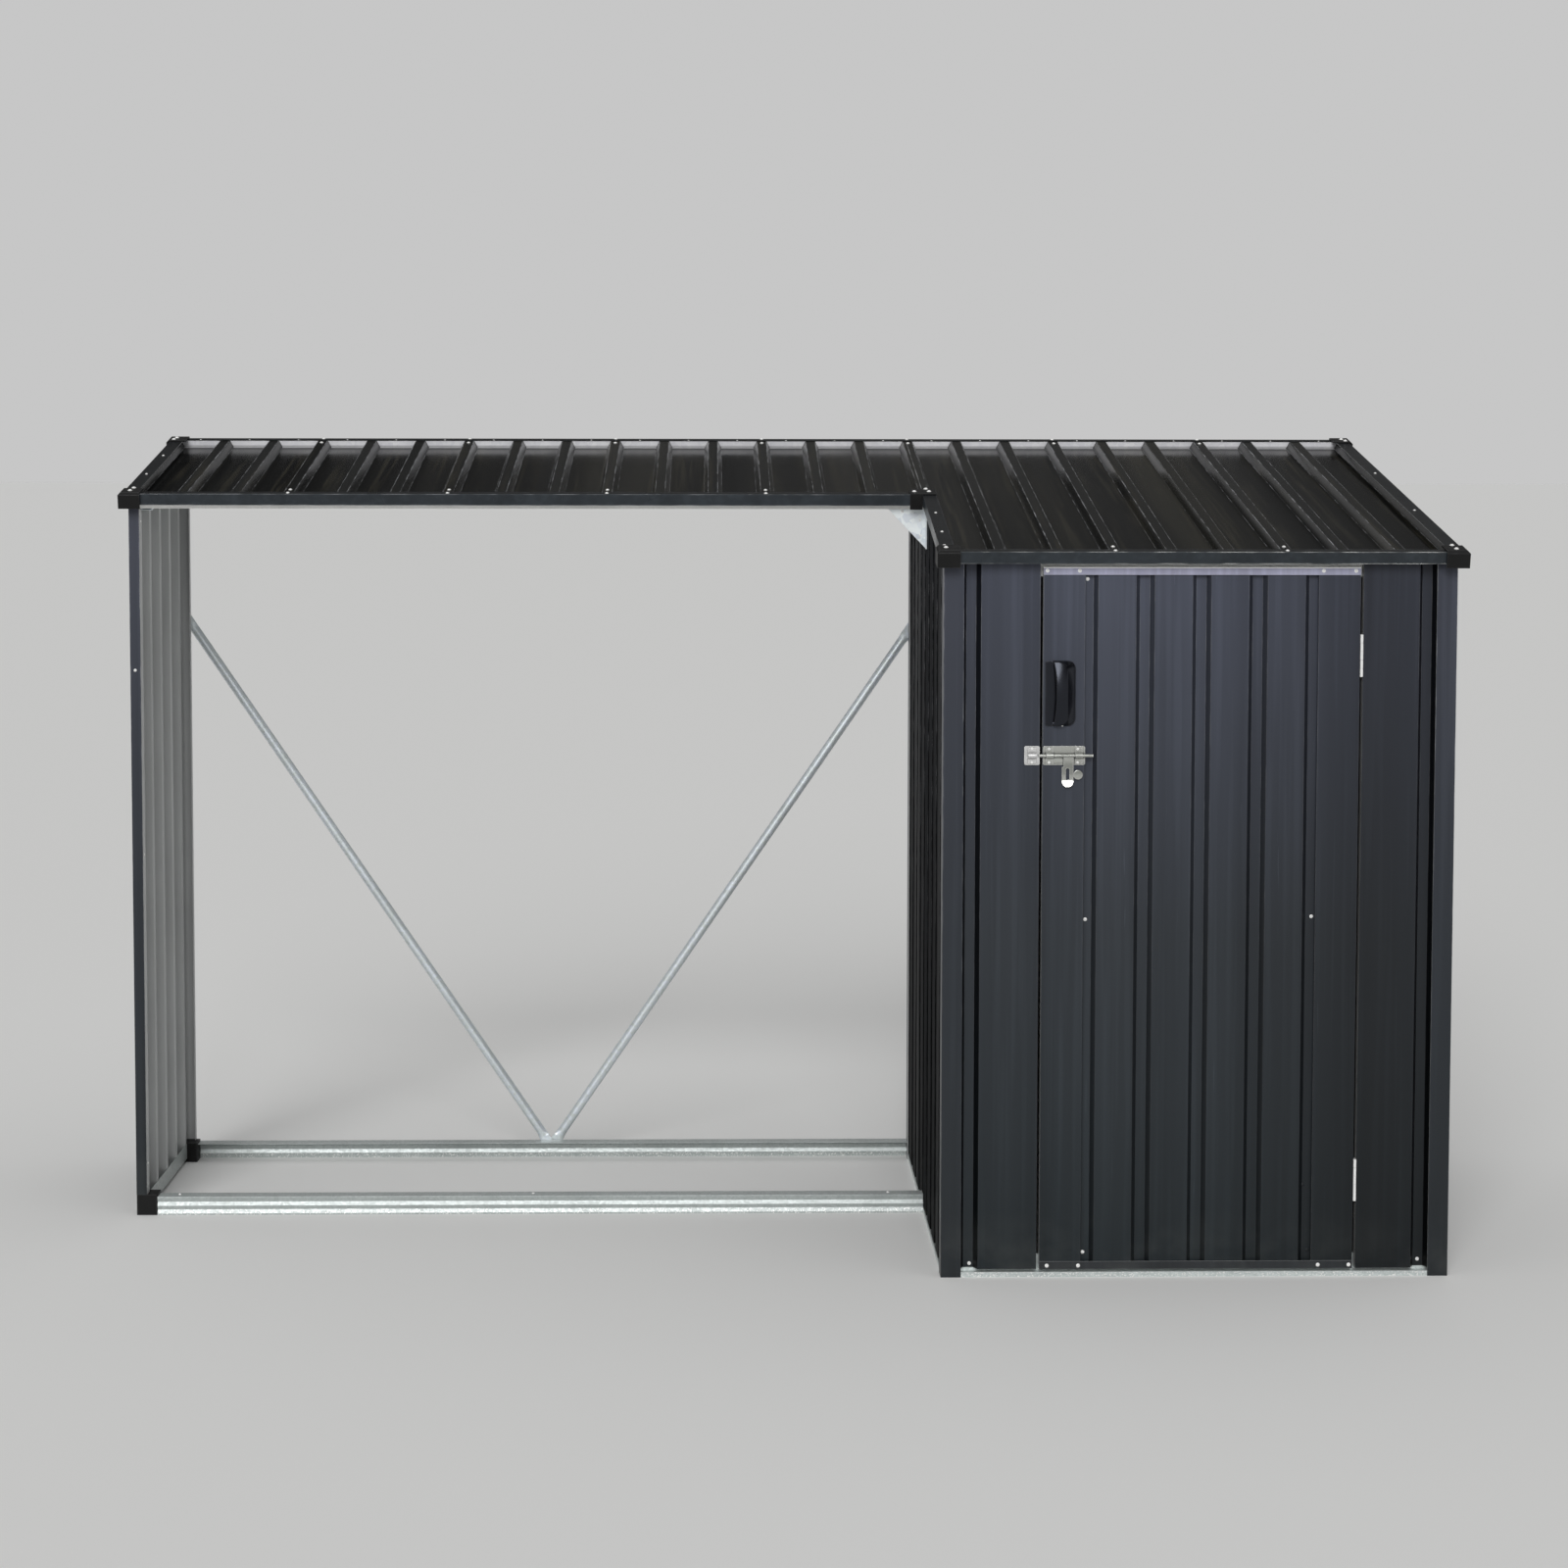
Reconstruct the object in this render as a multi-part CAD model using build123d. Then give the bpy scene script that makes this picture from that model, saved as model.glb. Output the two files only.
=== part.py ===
from build123d import *
import math
import os

# Steel log store with a tool cupboard beside the open log bay. Millimetres, +Z up.
# The origin is on the ground at the middle of the roof's outline; the front looks along -Y.

# Roof
roof_width = 2444.0          # over the side trims
roof_run = 978.0             # front to rear trim, measured level
roof_pitch = 12.0            # degrees, the roof rises to the rear
roof_front_z = 1297.6        # top of the cupboard's front trim
step_depth = 453.5           # how far the log bay's front stands behind the cupboard's
side_overhang = 7.0          # trim to wall at either side
front_overhang = 26.0
rear_overhang = 30.0

# Trims round the roof
trim_height = 22.0
trim_flange = 18.0
side_trim_flange = 26.0
trim_hem = 5.0

# Moulded corner caps
cap_wall = 3.0
cap_proud = 7.0              # trim's face to the cap's outside
cap_width = 34.0             # how far a cap covers its trims
cap_depth = 38.0
cap_drop = 28.0
cap_chamfer = 4.5
notch_cap_width = 24.0

# Ribbed sheet, drawn a little thicker than the real one
sheet = 1.2
rib_pitch = 100.0
roof_rib_pitch = 101.0
rib_top = 19.0
rib_base = 34.0
rib_height = 15.0

# Folded steel of posts, rails and beams
steel = 1.5
seat = 0.3                   # working gap where a sheet lies on its beam

# Cupboard
cupboard_width = 909.0
corner_leg = 36.0
front_rib_inset = 50.0       # corner to the groove beside the post
wall_foot = 14.5             # lower edge of walls and door
base_lip = 9.0
base_height = 38.0
beam_depth = 24.0
beam_height = 36.0
beam_lip = 5.0
rafter_width = 20.0
rafter_height = 25.0

# Door
door_left_inset = 176.0      # cupboard's left corner to the door's free edge
door_right_inset = 171.4     # hinged edge to the cupboard's right corner
door_top = 1270.0
door_gap = 5.0
door_stile = 74.0
door_rail = 14.0
door_lap = 12.0              # sheet behind each stile

# Hinges
hinge_length = 75.0
hinge_low_z = 137.0
hinge_high_z = 1076.0
knuckle_radius = 2.6
pin_radius = 1.1
pin_play = 0.15
knuckle_play = 0.5
knuckle_count = 5
leaf_steel = 1.2
leaf_gap = 0.3
leaf_depth = 9.0

# Log bay
log_post_face = 20.0
log_rear_post_face = 32.0
log_post_side = 38.0
log_post_lip = 25.0
log_rear_post_lip = 12.0
log_wall_rib_shift = 35.0    # the side wall's ribs stand this far behind its middle
foot_size = 40.0
foot_edge = 2.0
log_rail_height = 36.0
log_rail_depth = 30.0
log_rail_groove_depth = 2.5
log_rail_lip = 3.0           # upright edge above and below the grooves
log_beam_height = 16.0
gusset_width = 72.0
gusset_height = 76.0
gusset_flange = 25.0

# Tube braces across the open back
brace_radius = 9.5
brace_flat_width = 22.0
brace_flat_steel = 3.0
brace_flat_length = 26.0     # screw to the end of the flattened part
brace_shoulder = 14.0
brace_foot_z = 20.0
brace_foot_shift = 14.5      # the shared foot screw stands this far right of the bay's middle
brace_log_z = 1143.0
brace_cupboard_z = 1118.0
brace_screw_inset = 9.0      # cupboard's corner to the brace's upper screw

# Handle
handle_x = 31.0              # door's free edge to the handle's middle
handle_z = 1046.5
handle_width = 54.0
handle_height = 116.0
handle_base = 2.5
handle_edge_round = 3.0
handle_corner_round = 14.0
handle_mouth = 14.0          # finger opening beside the grip
handle_grip = 24.0
handle_margin = 1.5
handle_proud = 20.0
handle_bow = 4.4
handle_wall = 3.0

# Barrel bolt
bolt_z = 936.5
bolt_inset = 0.8             # door's free edge to the plate
bolt_plate_width = 74.5
bolt_plate_height = 33.5
bolt_plate_steel = 1.6
bolt_plate_round = 3.0
bolt_rod_radius = 3.0
bolt_rod_play = 0.4
bolt_rod_length = 95.5
bolt_travel = 18.5
bolt_tip_gap = 5.2           # drawn back, the tip stands this far off the staple
bolt_strap_inset = 5.0       # plate's end to its strap
bolt_strap_width = 12.5
bolt_strap_steel = 1.2
bolt_foot_margin = 2.5
staple_width = 27.3
staple_loop_width = 14.0
hasp_width = 20.4
hasp_waist = 17.5
hasp_waist_drop = 20.0
hasp_drop = 56.0
hasp_toe_drop = 44.0         # where the hasp turns out again
hasp_in = 2.3                # how far the hasp leans in towards the door
hasp_toe = 4.0
hasp_steel = 1.5
hasp_slot_width = 6.6
hasp_slot_height = 21.0
hasp_slot_drop = 33.0
thumb_radius = 8.5
thumb_drop = 34.0
thumb_steel = 3.0
thumb_overlap = 0.5
thumb_round = 1.0

# Planes worked out from the sizes above
pitch_rad = math.radians(roof_pitch)
rise = math.tan(pitch_rad)
roof_slope_length = roof_run / math.cos(pitch_rad)
cap_edge = cap_wall - cap_chamfer
roof_y = -roof_run / 2 + (cap_edge - cap_drop) * math.sin(pitch_rad) / 2
half_roof = roof_width / 2
wall_right = half_roof - side_overhang
wall_left = wall_right - cupboard_width
bay_left = -wall_right
front_y = roof_y + front_overhang
log_y = front_y + step_depth
rear_y = roof_y + roof_run - rear_overhang
step_x = wall_left - side_overhang
step_slope = (log_y - front_overhang - roof_y) / math.cos(pitch_rad)
rib_level = -sheet
valley_level = rib_level - rib_height
roof_under = valley_level - sheet
wall_depth = rib_height + sheet
door_left = wall_left + door_left_inset
door_right = wall_right - door_right_inset
door_width = door_right - door_left
door_hinge_x = door_right + door_gap / 2
hinge_y = front_y - 1.0
door_depth = steel + wall_depth - door_gap
roof_high_z = roof_front_z + roof_run * rise
bolt_plate_y = front_y + sheet - bolt_plate_steel
rod_y = bolt_plate_y - bolt_rod_play - bolt_rod_radius


def roof_at(local_x, along, up):
    """A frame on the roof: x across, y up the slope, z square to the sheet."""
    plane = Plane(
        origin=(0, roof_y, roof_front_z),
        x_dir=(1, 0, 0),
        z_dir=(0, -math.sin(pitch_rad), math.cos(pitch_rad)),
    )
    return plane.location * Location((local_x, along, up))


def turned(x_dir, z_dir):
    """A frame that lays a profile's x and its drawn length along the given directions."""
    return Plane(origin=(0, 0, 0), x_dir=x_dir, z_dir=z_dir).location


in_from_front = turned((0, 1, 0), (1, 0, 0))
in_from_rear = turned((0, -1, 0), (-1, 0, 0))
in_from_left = turned((1, 0, 0), (0, -1, 0))
in_from_right = turned((-1, 0, 0), (0, 1, 0))


def block(x0, x1, y0, y1, z0, z1):
    """A box given by its faces."""
    return Pos((x0 + x1) / 2, (y0 + y1) / 2, (z0 + z1) / 2) * Box(x1 - x0, y1 - y0, z1 - z0)


def roof_block(x0, x1, v0, v1, w0, w1):
    """The same box, lying in the roof's own frame."""
    return roof_at((x0 + x1) / 2, (v0 + v1) / 2, (w0 + w1) / 2) * Box(x1 - x0, v1 - v0, w1 - w0)


def under_roof_z(y):
    """Height of the sheet's underside at a place along Y."""
    return roof_front_z + (y - roof_y) * rise + roof_under / math.cos(pitch_rad)


def below_roof(shape):
    """Cuts a wall or post along the underside of the roof sheet."""
    over = roof_block(-half_roof, half_roof, -roof_run, 2 * roof_run, roof_under - seat, roof_run)
    return shape - over


def prism(points, length):
    """A closed outline in x and y, drawn out along z."""
    return extrude(make_face(Polyline(*points, close=True)), amount=length)


def offset_path(points, distance):
    """The same open path, moved sideways with mitred corners."""
    moved = []
    last = len(points) - 1
    for index, point in enumerate(points):
        before = points[max(index - 1, 0)]
        after = points[min(index + 1, last)]
        here = (point[0], point[1])
        first = before if index > 0 else here
        second = after if index < last else here
        normals = []
        for start, end in ((first, here), (here, second)):
            dx = end[0] - start[0]
            dy = end[1] - start[1]
            size = math.hypot(dx, dy)
            if size > 0:
                normals.append((dy / size, -dx / size))
        nx = sum(n[0] for n in normals)
        ny = sum(n[1] for n in normals)
        size = math.hypot(nx, ny)
        nx = nx / size
        ny = ny / size
        stretch = nx * normals[0][0] + ny * normals[0][1]
        moved.append((here[0] + distance * nx / stretch, here[1] + distance * ny / stretch))
    return moved


def folded(points, thickness, length):
    """Folded sheet: an open path given its thickness and drawn out along z."""
    other = offset_path(points, thickness)
    return prism(points + other[::-1], length)


def ribbed_path(start, end, ribs, depth):
    """Trapezoid ribs on a flat sheet. An end that falls on a rib's top stays raised."""
    def end_point(place):
        raised = any(abs(place - middle) < rib_top / 2 for middle in ribs)
        return (place, depth if raised else 0)

    path = [end_point(start)]
    for middle in ribs:
        corners = (
            (middle - rib_base / 2, 0),
            (middle - rib_top / 2, depth),
            (middle + rib_top / 2, depth),
            (middle + rib_base / 2, 0),
        )
        path += [corner for corner in corners if start < corner[0] < end]
    path.append(end_point(end))
    return path


def ribs_between(start, end, clear):
    """Ribs at the sheet's pitch, centred between two ends."""
    count = int((end - start - 2 * clear) // rib_pitch) + 1
    middle = (start + end) / 2
    return [middle + (index - (count - 1) / 2) * rib_pitch for index in range(count)]


def upright(path, thickness, place, z0, z1):
    """A folded path stood up between two heights. place maps (along, in) to (x, y)."""
    outer = [place(point) for point in path]
    inner = [place(point) for point in offset_path(path, thickness)]
    shape = prism(outer + inner[::-1], z1 - z0)
    return Pos(0, 0, z0) * shape


def channel(depth, height, length):
    """A lipped channel: its web in front, open behind."""
    path = [
        (depth, beam_lip),
        (depth, 0),
        (0, 0),
        (0, height),
        (depth, height),
        (depth, height - beam_lip),
    ]
    return folded(path, steel, length)


# Roof sheets
def roof_sheet(x0, x1, v0, v1):
    count = int(half_roof // roof_rib_pitch)
    ribs = [index * roof_rib_pitch for index in range(-count, count + 1)]
    shape = folded(ribbed_path(x0, x1, ribs, rib_height), sheet, v1 - v0)
    return roof_at(0, v1, valley_level) * (in_from_left * shape)


def make_roof_sheets():
    inside = sheet + seat
    seam = step_x + sheet
    rear_end = roof_slope_length - inside
    return {
        "log_roof_sheet": roof_sheet(-half_roof + inside, seam, step_slope + inside, rear_end),
        "cupboard_roof_sheet": roof_sheet(seam + seat, half_roof - inside, inside, rear_end),
    }


# Trims: a folded angle with a hem under its face
def trim_path(flange):
    return [(trim_hem, -trim_height), (0, -trim_height), (0, 0), (flange, 0)]


def front_trim(x0, x1, v):
    shape = folded(trim_path(trim_flange), sheet, x1 - x0)
    return roof_at(x0, v, 0) * (in_from_front * shape)


def rear_trim():
    shape = folded(trim_path(trim_flange), sheet, roof_width)
    return roof_at(half_roof, roof_slope_length, 0) * (in_from_rear * shape)


def side_trim(x, v0, v1, flange, right):
    shape = folded(trim_path(flange), sheet, v1 - v0)
    if right:
        return roof_at(x, v0, 0) * (in_from_right * shape)
    return roof_at(x, v1, 0) * (in_from_left * shape)


def make_trims():
    rear_end = roof_slope_length - trim_flange
    return {
        "rear_trim": rear_trim(),
        "left_trim": side_trim(
            -half_roof, step_slope + trim_flange, rear_end, side_trim_flange, False
        ),
        "right_trim": side_trim(half_roof, trim_flange, rear_end, side_trim_flange, True),
        "log_front_trim": front_trim(-half_roof, step_x, step_slope),
        "step_trim": side_trim(step_x, trim_flange, step_slope, side_trim_flange, False),
        "cupboard_front_trim": front_trim(step_x, half_roof, 0),
    }


# Corner caps: a thin moulded corner over two trims
def roof_point(x, v, w):
    return roof_at(x, v, w).position


def corner_cap(x, toward, v, along):
    """Two walls and a top. toward and along are the signs of the way into the roof."""
    outer_x = x - toward * cap_proud
    inner_x = x + toward * cap_width
    outer_v = v - along * cap_proud
    inner_v = v + along * cap_depth
    body = roof_block(
        min(outer_x, inner_x), max(outer_x, inner_x),
        min(outer_v, inner_v), max(outer_v, inner_v),
        -cap_drop, cap_wall,
    )
    side = Vertex(roof_point(outer_x, (outer_v + inner_v) / 2, cap_wall))
    face = Vertex(roof_point((outer_x + inner_x) / 2, outer_v, cap_wall))
    top_edges = body.edges().sort_by_distance(side)[:1] + body.edges().sort_by_distance(face)[:1]
    body = chamfer(top_edges, cap_chamfer)
    room_x = outer_x + toward * cap_wall
    room_v = outer_v + along * cap_wall
    reach = cap_width + cap_depth
    hollow = roof_block(
        min(room_x, room_x + toward * reach), max(room_x, room_x + toward * reach),
        min(room_v, room_v + along * reach), max(room_v, room_v + along * reach),
        -2 * cap_drop, 0,
    )
    return body - hollow


def notch_cap():
    """Covers the inner corner where the log bay's trim meets the step's trim."""
    x0 = step_x - notch_cap_width
    front = step_slope - cap_proud
    wall = roof_block(x0, step_x, front, front + cap_wall, -cap_drop, 0)
    end = roof_block(x0, x0 + cap_wall, front, step_slope, -cap_drop, 0)
    plate = roof_block(
        x0, step_x + side_trim_flange, front, step_slope + cap_depth, 0, cap_wall
    )
    return wall + end + plate


def make_caps():
    rear = roof_slope_length
    caps = [
        corner_cap(-half_roof, 1, step_slope, 1),
        corner_cap(-half_roof, 1, rear, -1),
        corner_cap(half_roof, -1, rear, -1),
        corner_cap(half_roof, -1, 0, 1),
        corner_cap(step_x, 1, 0, 1),
        notch_cap(),
    ]
    return {"roof_corner_caps": Compound(children=caps)}


# Cupboard walls
def make_cupboard_walls():
    span_y0 = front_y + steel + sheet
    span_y1 = rear_y - steel - sheet
    ribs = ribs_between(span_y0, span_y1, corner_leg)
    path = ribbed_path(span_y0, span_y1, ribs, rib_height)

    def on_left(point):
        return (wall_left + steel + sheet + point[1], point[0])

    def on_right(point):
        return (wall_right - steel - sheet - point[1], point[0])

    def on_rear(point):
        return (point[0], rear_y - steel - sheet - point[1])

    left = upright(path, sheet, on_left, wall_foot, roof_high_z)
    right = upright(path, sheet, on_right, wall_foot, roof_high_z)
    x0 = wall_left + steel
    x1 = wall_right - steel
    rear_path = ribbed_path(x0, x1, ribs_between(x0, x1, corner_leg), rib_height)
    rear = upright(rear_path, sheet, on_rear, wall_foot, roof_high_z)
    return {
        "cupboard_left_wall": below_roof(left),
        "cupboard_right_wall": below_roof(right),
        "cupboard_rear_wall": below_roof(rear),
    }


def make_front_panels():
    """Fixed panels either side of the door, each with one groove and a turned edge."""
    parts = {}
    for name, corner, sign, edge in (
        ("front_panel_left", wall_left, 1, door_left - door_gap),
        ("front_panel_right", wall_right, -1, door_right + door_gap),
    ):
        width = abs(edge - corner)
        path = ribbed_path(steel, width - sheet, [front_rib_inset], rib_height)
        path.append((width - sheet, wall_depth - sheet))

        def on_front(point, corner=corner, sign=sign):
            return (corner + sign * point[0], front_y + steel + sheet + point[1])

        parts[name] = below_roof(upright(path, sheet, on_front, wall_foot, roof_front_z))
    return parts


def make_corner_posts():
    """Angles from the ground to the roof, over the ends of the wall sheets."""
    parts = {}
    for name, x, sx, y, sy in (
        ("front_left_post", wall_left, 1, front_y, 1),
        ("front_right_post", wall_right, -1, front_y, 1),
        ("rear_left_post", wall_left, 1, rear_y, -1),
        ("rear_right_post", wall_right, -1, rear_y, -1),
    ):
        points = [
            (x, y),
            (x + sx * corner_leg, y),
            (x + sx * corner_leg, y + sy * steel),
            (x + sx * steel, y + sy * steel),
            (x + sx * steel, y + sy * corner_leg),
            (x, y + sy * corner_leg),
        ]
        parts[name] = below_roof(prism(points, roof_high_z))
    return parts


# Cupboard frame
def base_rail(length):
    """Low lip outside, a shelf under the wall and an upstand behind it."""
    path = [(0, 0), (0, base_lip), (wall_depth, base_lip), (wall_depth, base_height)]
    return folded(path, sheet, length)


def rafter(x, y0, y1):
    """A channel lying up the slope between two beams."""
    slab = roof_at(x, roof_slope_length, roof_under - seat - rafter_height) * (
        in_from_left * channel(rafter_width, rafter_height, roof_slope_length)
    )
    return slab & block(x - seat, x + rafter_width + seat, y0, y1, 0, roof_high_z)


def make_cupboard_frame():
    x0 = wall_left + steel
    x1 = wall_right - steel
    back = steel + wall_depth + sheet
    y0 = front_y + back
    y1 = rear_y - back
    width = x1 - x0 - 2 * sheet
    front = Pos(x0 + sheet, front_y + steel, 0) * (in_from_front * base_rail(width))
    rear = Pos(x1 - sheet, rear_y - steel, 0) * (in_from_rear * base_rail(width))
    left = Pos(x0, y1, 0) * (in_from_left * base_rail(y1 - y0))
    right = Pos(x1, y0, 0) * (in_from_right * base_rail(y1 - y0))
    side = steel + wall_depth
    inner_x0 = wall_left + side
    inner_x1 = wall_right - side
    face = front_y + side
    rear_face = rear_y - side
    head_z = under_roof_z(face) - seat - beam_height
    rear_z = under_roof_z(rear_face - beam_depth) - seat - beam_height
    beam = channel(beam_depth, beam_height, inner_x1 - inner_x0)
    rafters = [
        rafter(x, face + beam_depth, rear_face - beam_depth)
        for x in (inner_x0, inner_x1 - rafter_width)
    ]
    return {
        "cupboard_front_base": front,
        "cupboard_rear_base": rear,
        "cupboard_side_bases": Compound(children=[left, right]),
        "door_head": Pos(inner_x0, face, head_z) * (in_from_front * beam),
        "cupboard_rear_beam": Pos(inner_x1, rear_face, rear_z) * (in_from_rear * beam),
        "cupboard_rafters": Compound(children=rafters),
    }


# Log bay
def channel_post(face, lip):
    """Web across the front, a deep outer leg and a shorter inner lip."""
    path = [(face, lip), (face, 0), (0, 0), (0, log_post_side)]
    return folded(path, steel, roof_high_z - foot_size)


def make_log_bay():
    front_post = channel_post(log_post_face, log_post_lip)
    rear_post = mirror(channel_post(log_rear_post_face, log_rear_post_lip), about=Plane.XZ)
    span_y0 = log_y + steel
    span_y1 = rear_y - steel
    ribs = [y + log_wall_rib_shift for y in ribs_between(span_y0, span_y1, log_post_side)]
    path = ribbed_path(span_y0, span_y1, ribs, rib_height)

    def on_side(point):
        return (bay_left + steel + sheet + point[1], point[0])

    wall = upright(path, sheet, on_side, wall_foot, roof_high_z)
    feet = []
    for y in (log_y, rear_y - foot_size):
        foot = block(bay_left, bay_left + foot_size, y, y + foot_size, 0, foot_size)
        wall -= block(
            bay_left, bay_left + foot_size, y - seat, y + foot_size + seat, 0, foot_size + seat
        )
        feet.append(chamfer(foot.edges().filter_by(Axis.Z), foot_edge))
    return {
        "log_front_post": below_roof(Pos(bay_left, log_y, foot_size) * front_post),
        "log_rear_post": below_roof(Pos(bay_left, rear_y, foot_size) * rear_post),
        "log_side_wall": below_roof(wall),
        "log_bay_feet": Compound(children=feet),
    }


def make_log_bay_frame():
    """Grooved rails at the ground and beams under the roof."""
    groove = log_rail_groove_depth
    step = (log_rail_height - 2 * log_rail_lip) / 4
    wave = [(groove * (index % 2), log_rail_lip + index * step) for index in range(5)]
    face = [(0, 0)] + wave + [(0, log_rail_height), (log_rail_depth, log_rail_height)]
    rail_x0 = bay_left + foot_size
    length = wall_left - rail_x0
    front_rail = folded(face, steel, length + steel)
    rear_rail = folded(face, steel, length)
    side_length = rear_y - log_y - 2 * foot_size
    low_path = [(0, 0), (0, base_lip), (wall_depth + steel, base_lip), (wall_depth + steel, base_height)]
    side_rail = folded(low_path, sheet, side_length)
    beam_y = log_y + steel + seat
    beam_z = under_roof_z(beam_y) - seat - log_beam_height
    front_x = bay_left + log_post_face
    front_beam = channel(beam_depth, log_beam_height, wall_left + steel - front_x)
    rear_face = rear_y - steel - seat
    rear_z = under_roof_z(rear_face - beam_depth) - seat - beam_height
    rear_beam = channel(beam_depth, beam_height, wall_left - bay_left - log_rear_post_face)
    return {
        "log_front_rail": Pos(rail_x0, log_y, 0) * (in_from_front * front_rail),
        "log_rear_rail": Pos(wall_left, rear_y, 0) * (in_from_rear * rear_rail),
        "log_side_rail": Pos(bay_left, rear_y - foot_size, 0) * (in_from_left * side_rail),
        "log_front_beam": Pos(front_x, beam_y, beam_z) * (in_from_front * front_beam),
        "log_rear_beam": Pos(wall_left, rear_face, rear_z) * (in_from_rear * rear_beam),
        "log_side_rafter": rafter(front_x, beam_y + beam_depth, rear_face - beam_depth),
    }


def brace_end():
    """The flattened end, from its screw up to the full tube. The front stays flush."""
    middle = brace_flat_steel / 2
    flat = block(
        -brace_flat_width / 2, brace_flat_width / 2, 0, brace_flat_steel, 0, brace_flat_length
    )
    tip = Pos(0, middle, 0) * (
        Rotation(90, 0, 0) * Cylinder(brace_flat_width / 2, brace_flat_steel)
    )
    narrow = Pos(0, middle, brace_flat_length) * Ellipse(brace_flat_width / 2, middle)
    full = Pos(0, brace_radius, brace_flat_length + brace_shoulder) * Circle(brace_radius)
    return flat + tip + loft([narrow, full])


def brace(start, end):
    """A round tube between two screws, each given as (x, y, z)."""
    dx = end[0] - start[0]
    dz = end[2] - start[2]
    length = math.dist(start, end)
    tube = length - 2 * (brace_flat_length + brace_shoulder)
    first = brace_end()
    last = Pos(0, 0, length) * mirror(first, about=Plane.XY)
    bar = first + Pos(0, brace_radius, length / 2) * Cylinder(brace_radius, tube) + last
    lean = Plane(origin=start, x_dir=(dz, 0, -dx), z_dir=(dx, end[1] - start[1], dz))
    return lean.location * bar


def make_braces():
    """Two tubes in a V across the open back, their feet on one screw."""
    face = rear_y + seat
    foot_x = (bay_left + wall_left) / 2 + brace_foot_shift
    log_top = (bay_left + log_rear_post_face / 2, face, brace_log_z)
    cupboard_top = (wall_left + brace_screw_inset, face, brace_cupboard_z)
    braces = [
        brace((foot_x, face, brace_foot_z), log_top),
        brace((foot_x, face + brace_flat_steel + seat, brace_foot_z), cupboard_top),
    ]
    return {"back_braces": Compound(children=braces)}


def make_gusset():
    """Triangle plate between the front beam and the cupboard's wall."""
    face = log_y + steel + seat
    top = under_roof_z(face) - seat - log_beam_height
    x = wall_left + steel
    plate = [(x, top), (x - gusset_width, top), (x, top - gusset_height)]
    triangle = extrude(make_face(Plane.XZ * Polyline(*plate, close=True)), amount=steel)
    flange = block(x - steel, x, face - gusset_flange, face, top - gusset_height, top)
    return {"corner_gusset": Pos(0, face + steel, 0) * triangle + flange}


# Door
def make_door():
    """Rails outermost, then the stiles, with the ribbed sheet behind them."""
    low = wall_foot + sheet
    high = door_top - sheet
    ribs = ribs_between(door_left, door_right, door_stile)
    reach = door_stile - door_lap
    path = ribbed_path(door_left + reach, door_right - reach, ribs, door_depth - 4 * sheet)

    def on_door(point):
        return (point[0], front_y + 3 * sheet + point[1])

    panel = upright(path, sheet, on_door, low, high)
    stiles = []
    for edge, sign in ((door_left, 1), (door_right, -1)):
        stile = [(sheet, door_depth - 2 * sheet), (sheet, sheet), (door_stile, sheet)]

        def on_stile(point, edge=edge, sign=sign):
            return (edge + sign * point[0], front_y + sheet + point[1])

        stiles.append(upright(stile, sheet, on_stile, low, high))
    channel_path = [(0, 0), (0, door_rail), (door_depth, door_rail), (door_depth, 0)]
    upper = in_from_front * folded(channel_path, sheet, door_width)
    lower = mirror(upper, about=Plane.XY)
    rails = [
        Pos(door_left, front_y, door_top - door_rail) * upper,
        Pos(door_left, front_y, wall_foot + door_rail) * lower,
    ]
    return {
        "door_sheet": panel,
        "door_stiles": Compound(children=stiles),
        "door_rails": Compound(children=rails),
    }


# Hinges
def hinge_half(low_z, side, numbers, with_pin):
    """One leaf with its knuckles. side is -1 for the door and 1 for the frame."""
    step = hinge_length / knuckle_count
    bore = pin_radius + pin_play
    near = side * (door_gap / 2 - leaf_gap - leaf_steel)
    far = side * (door_gap / 2 - leaf_gap)
    x0 = min(near, far)
    x1 = max(near, far)
    start = knuckle_radius + knuckle_play
    shape = block(x0, x1, start, start + leaf_depth, 0, hinge_length)
    for number in numbers:
        z0 = number * step + (knuckle_play / 2 if number > 0 else 0)
        z1 = (number + 1) * step - (knuckle_play / 2 if number < knuckle_count - 1 else 0)
        shape += block(x0, x1, 0, start, z0, z1)
        shape += Pos(0, 0, (z0 + z1) / 2) * Cylinder(knuckle_radius, z1 - z0)
    core = pin_radius if with_pin else bore
    hole = Pos(0, 0, hinge_length / 2) * Cylinder(core, hinge_length)
    shape -= hole
    if with_pin:
        shape += hole
    return Pos(door_hinge_x, hinge_y, low_z) * shape


def make_hinges():
    frame = []
    door = []
    for low_z in (hinge_low_z, hinge_high_z):
        frame.append(hinge_half(low_z, 1, range(0, knuckle_count, 2), True))
        door.append(hinge_half(low_z, -1, range(1, knuckle_count, 2), False))
    return {
        "hinge_frame_leaves": Compound(children=frame),
        "hinge_door_leaves": Compound(children=door),
    }


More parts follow.
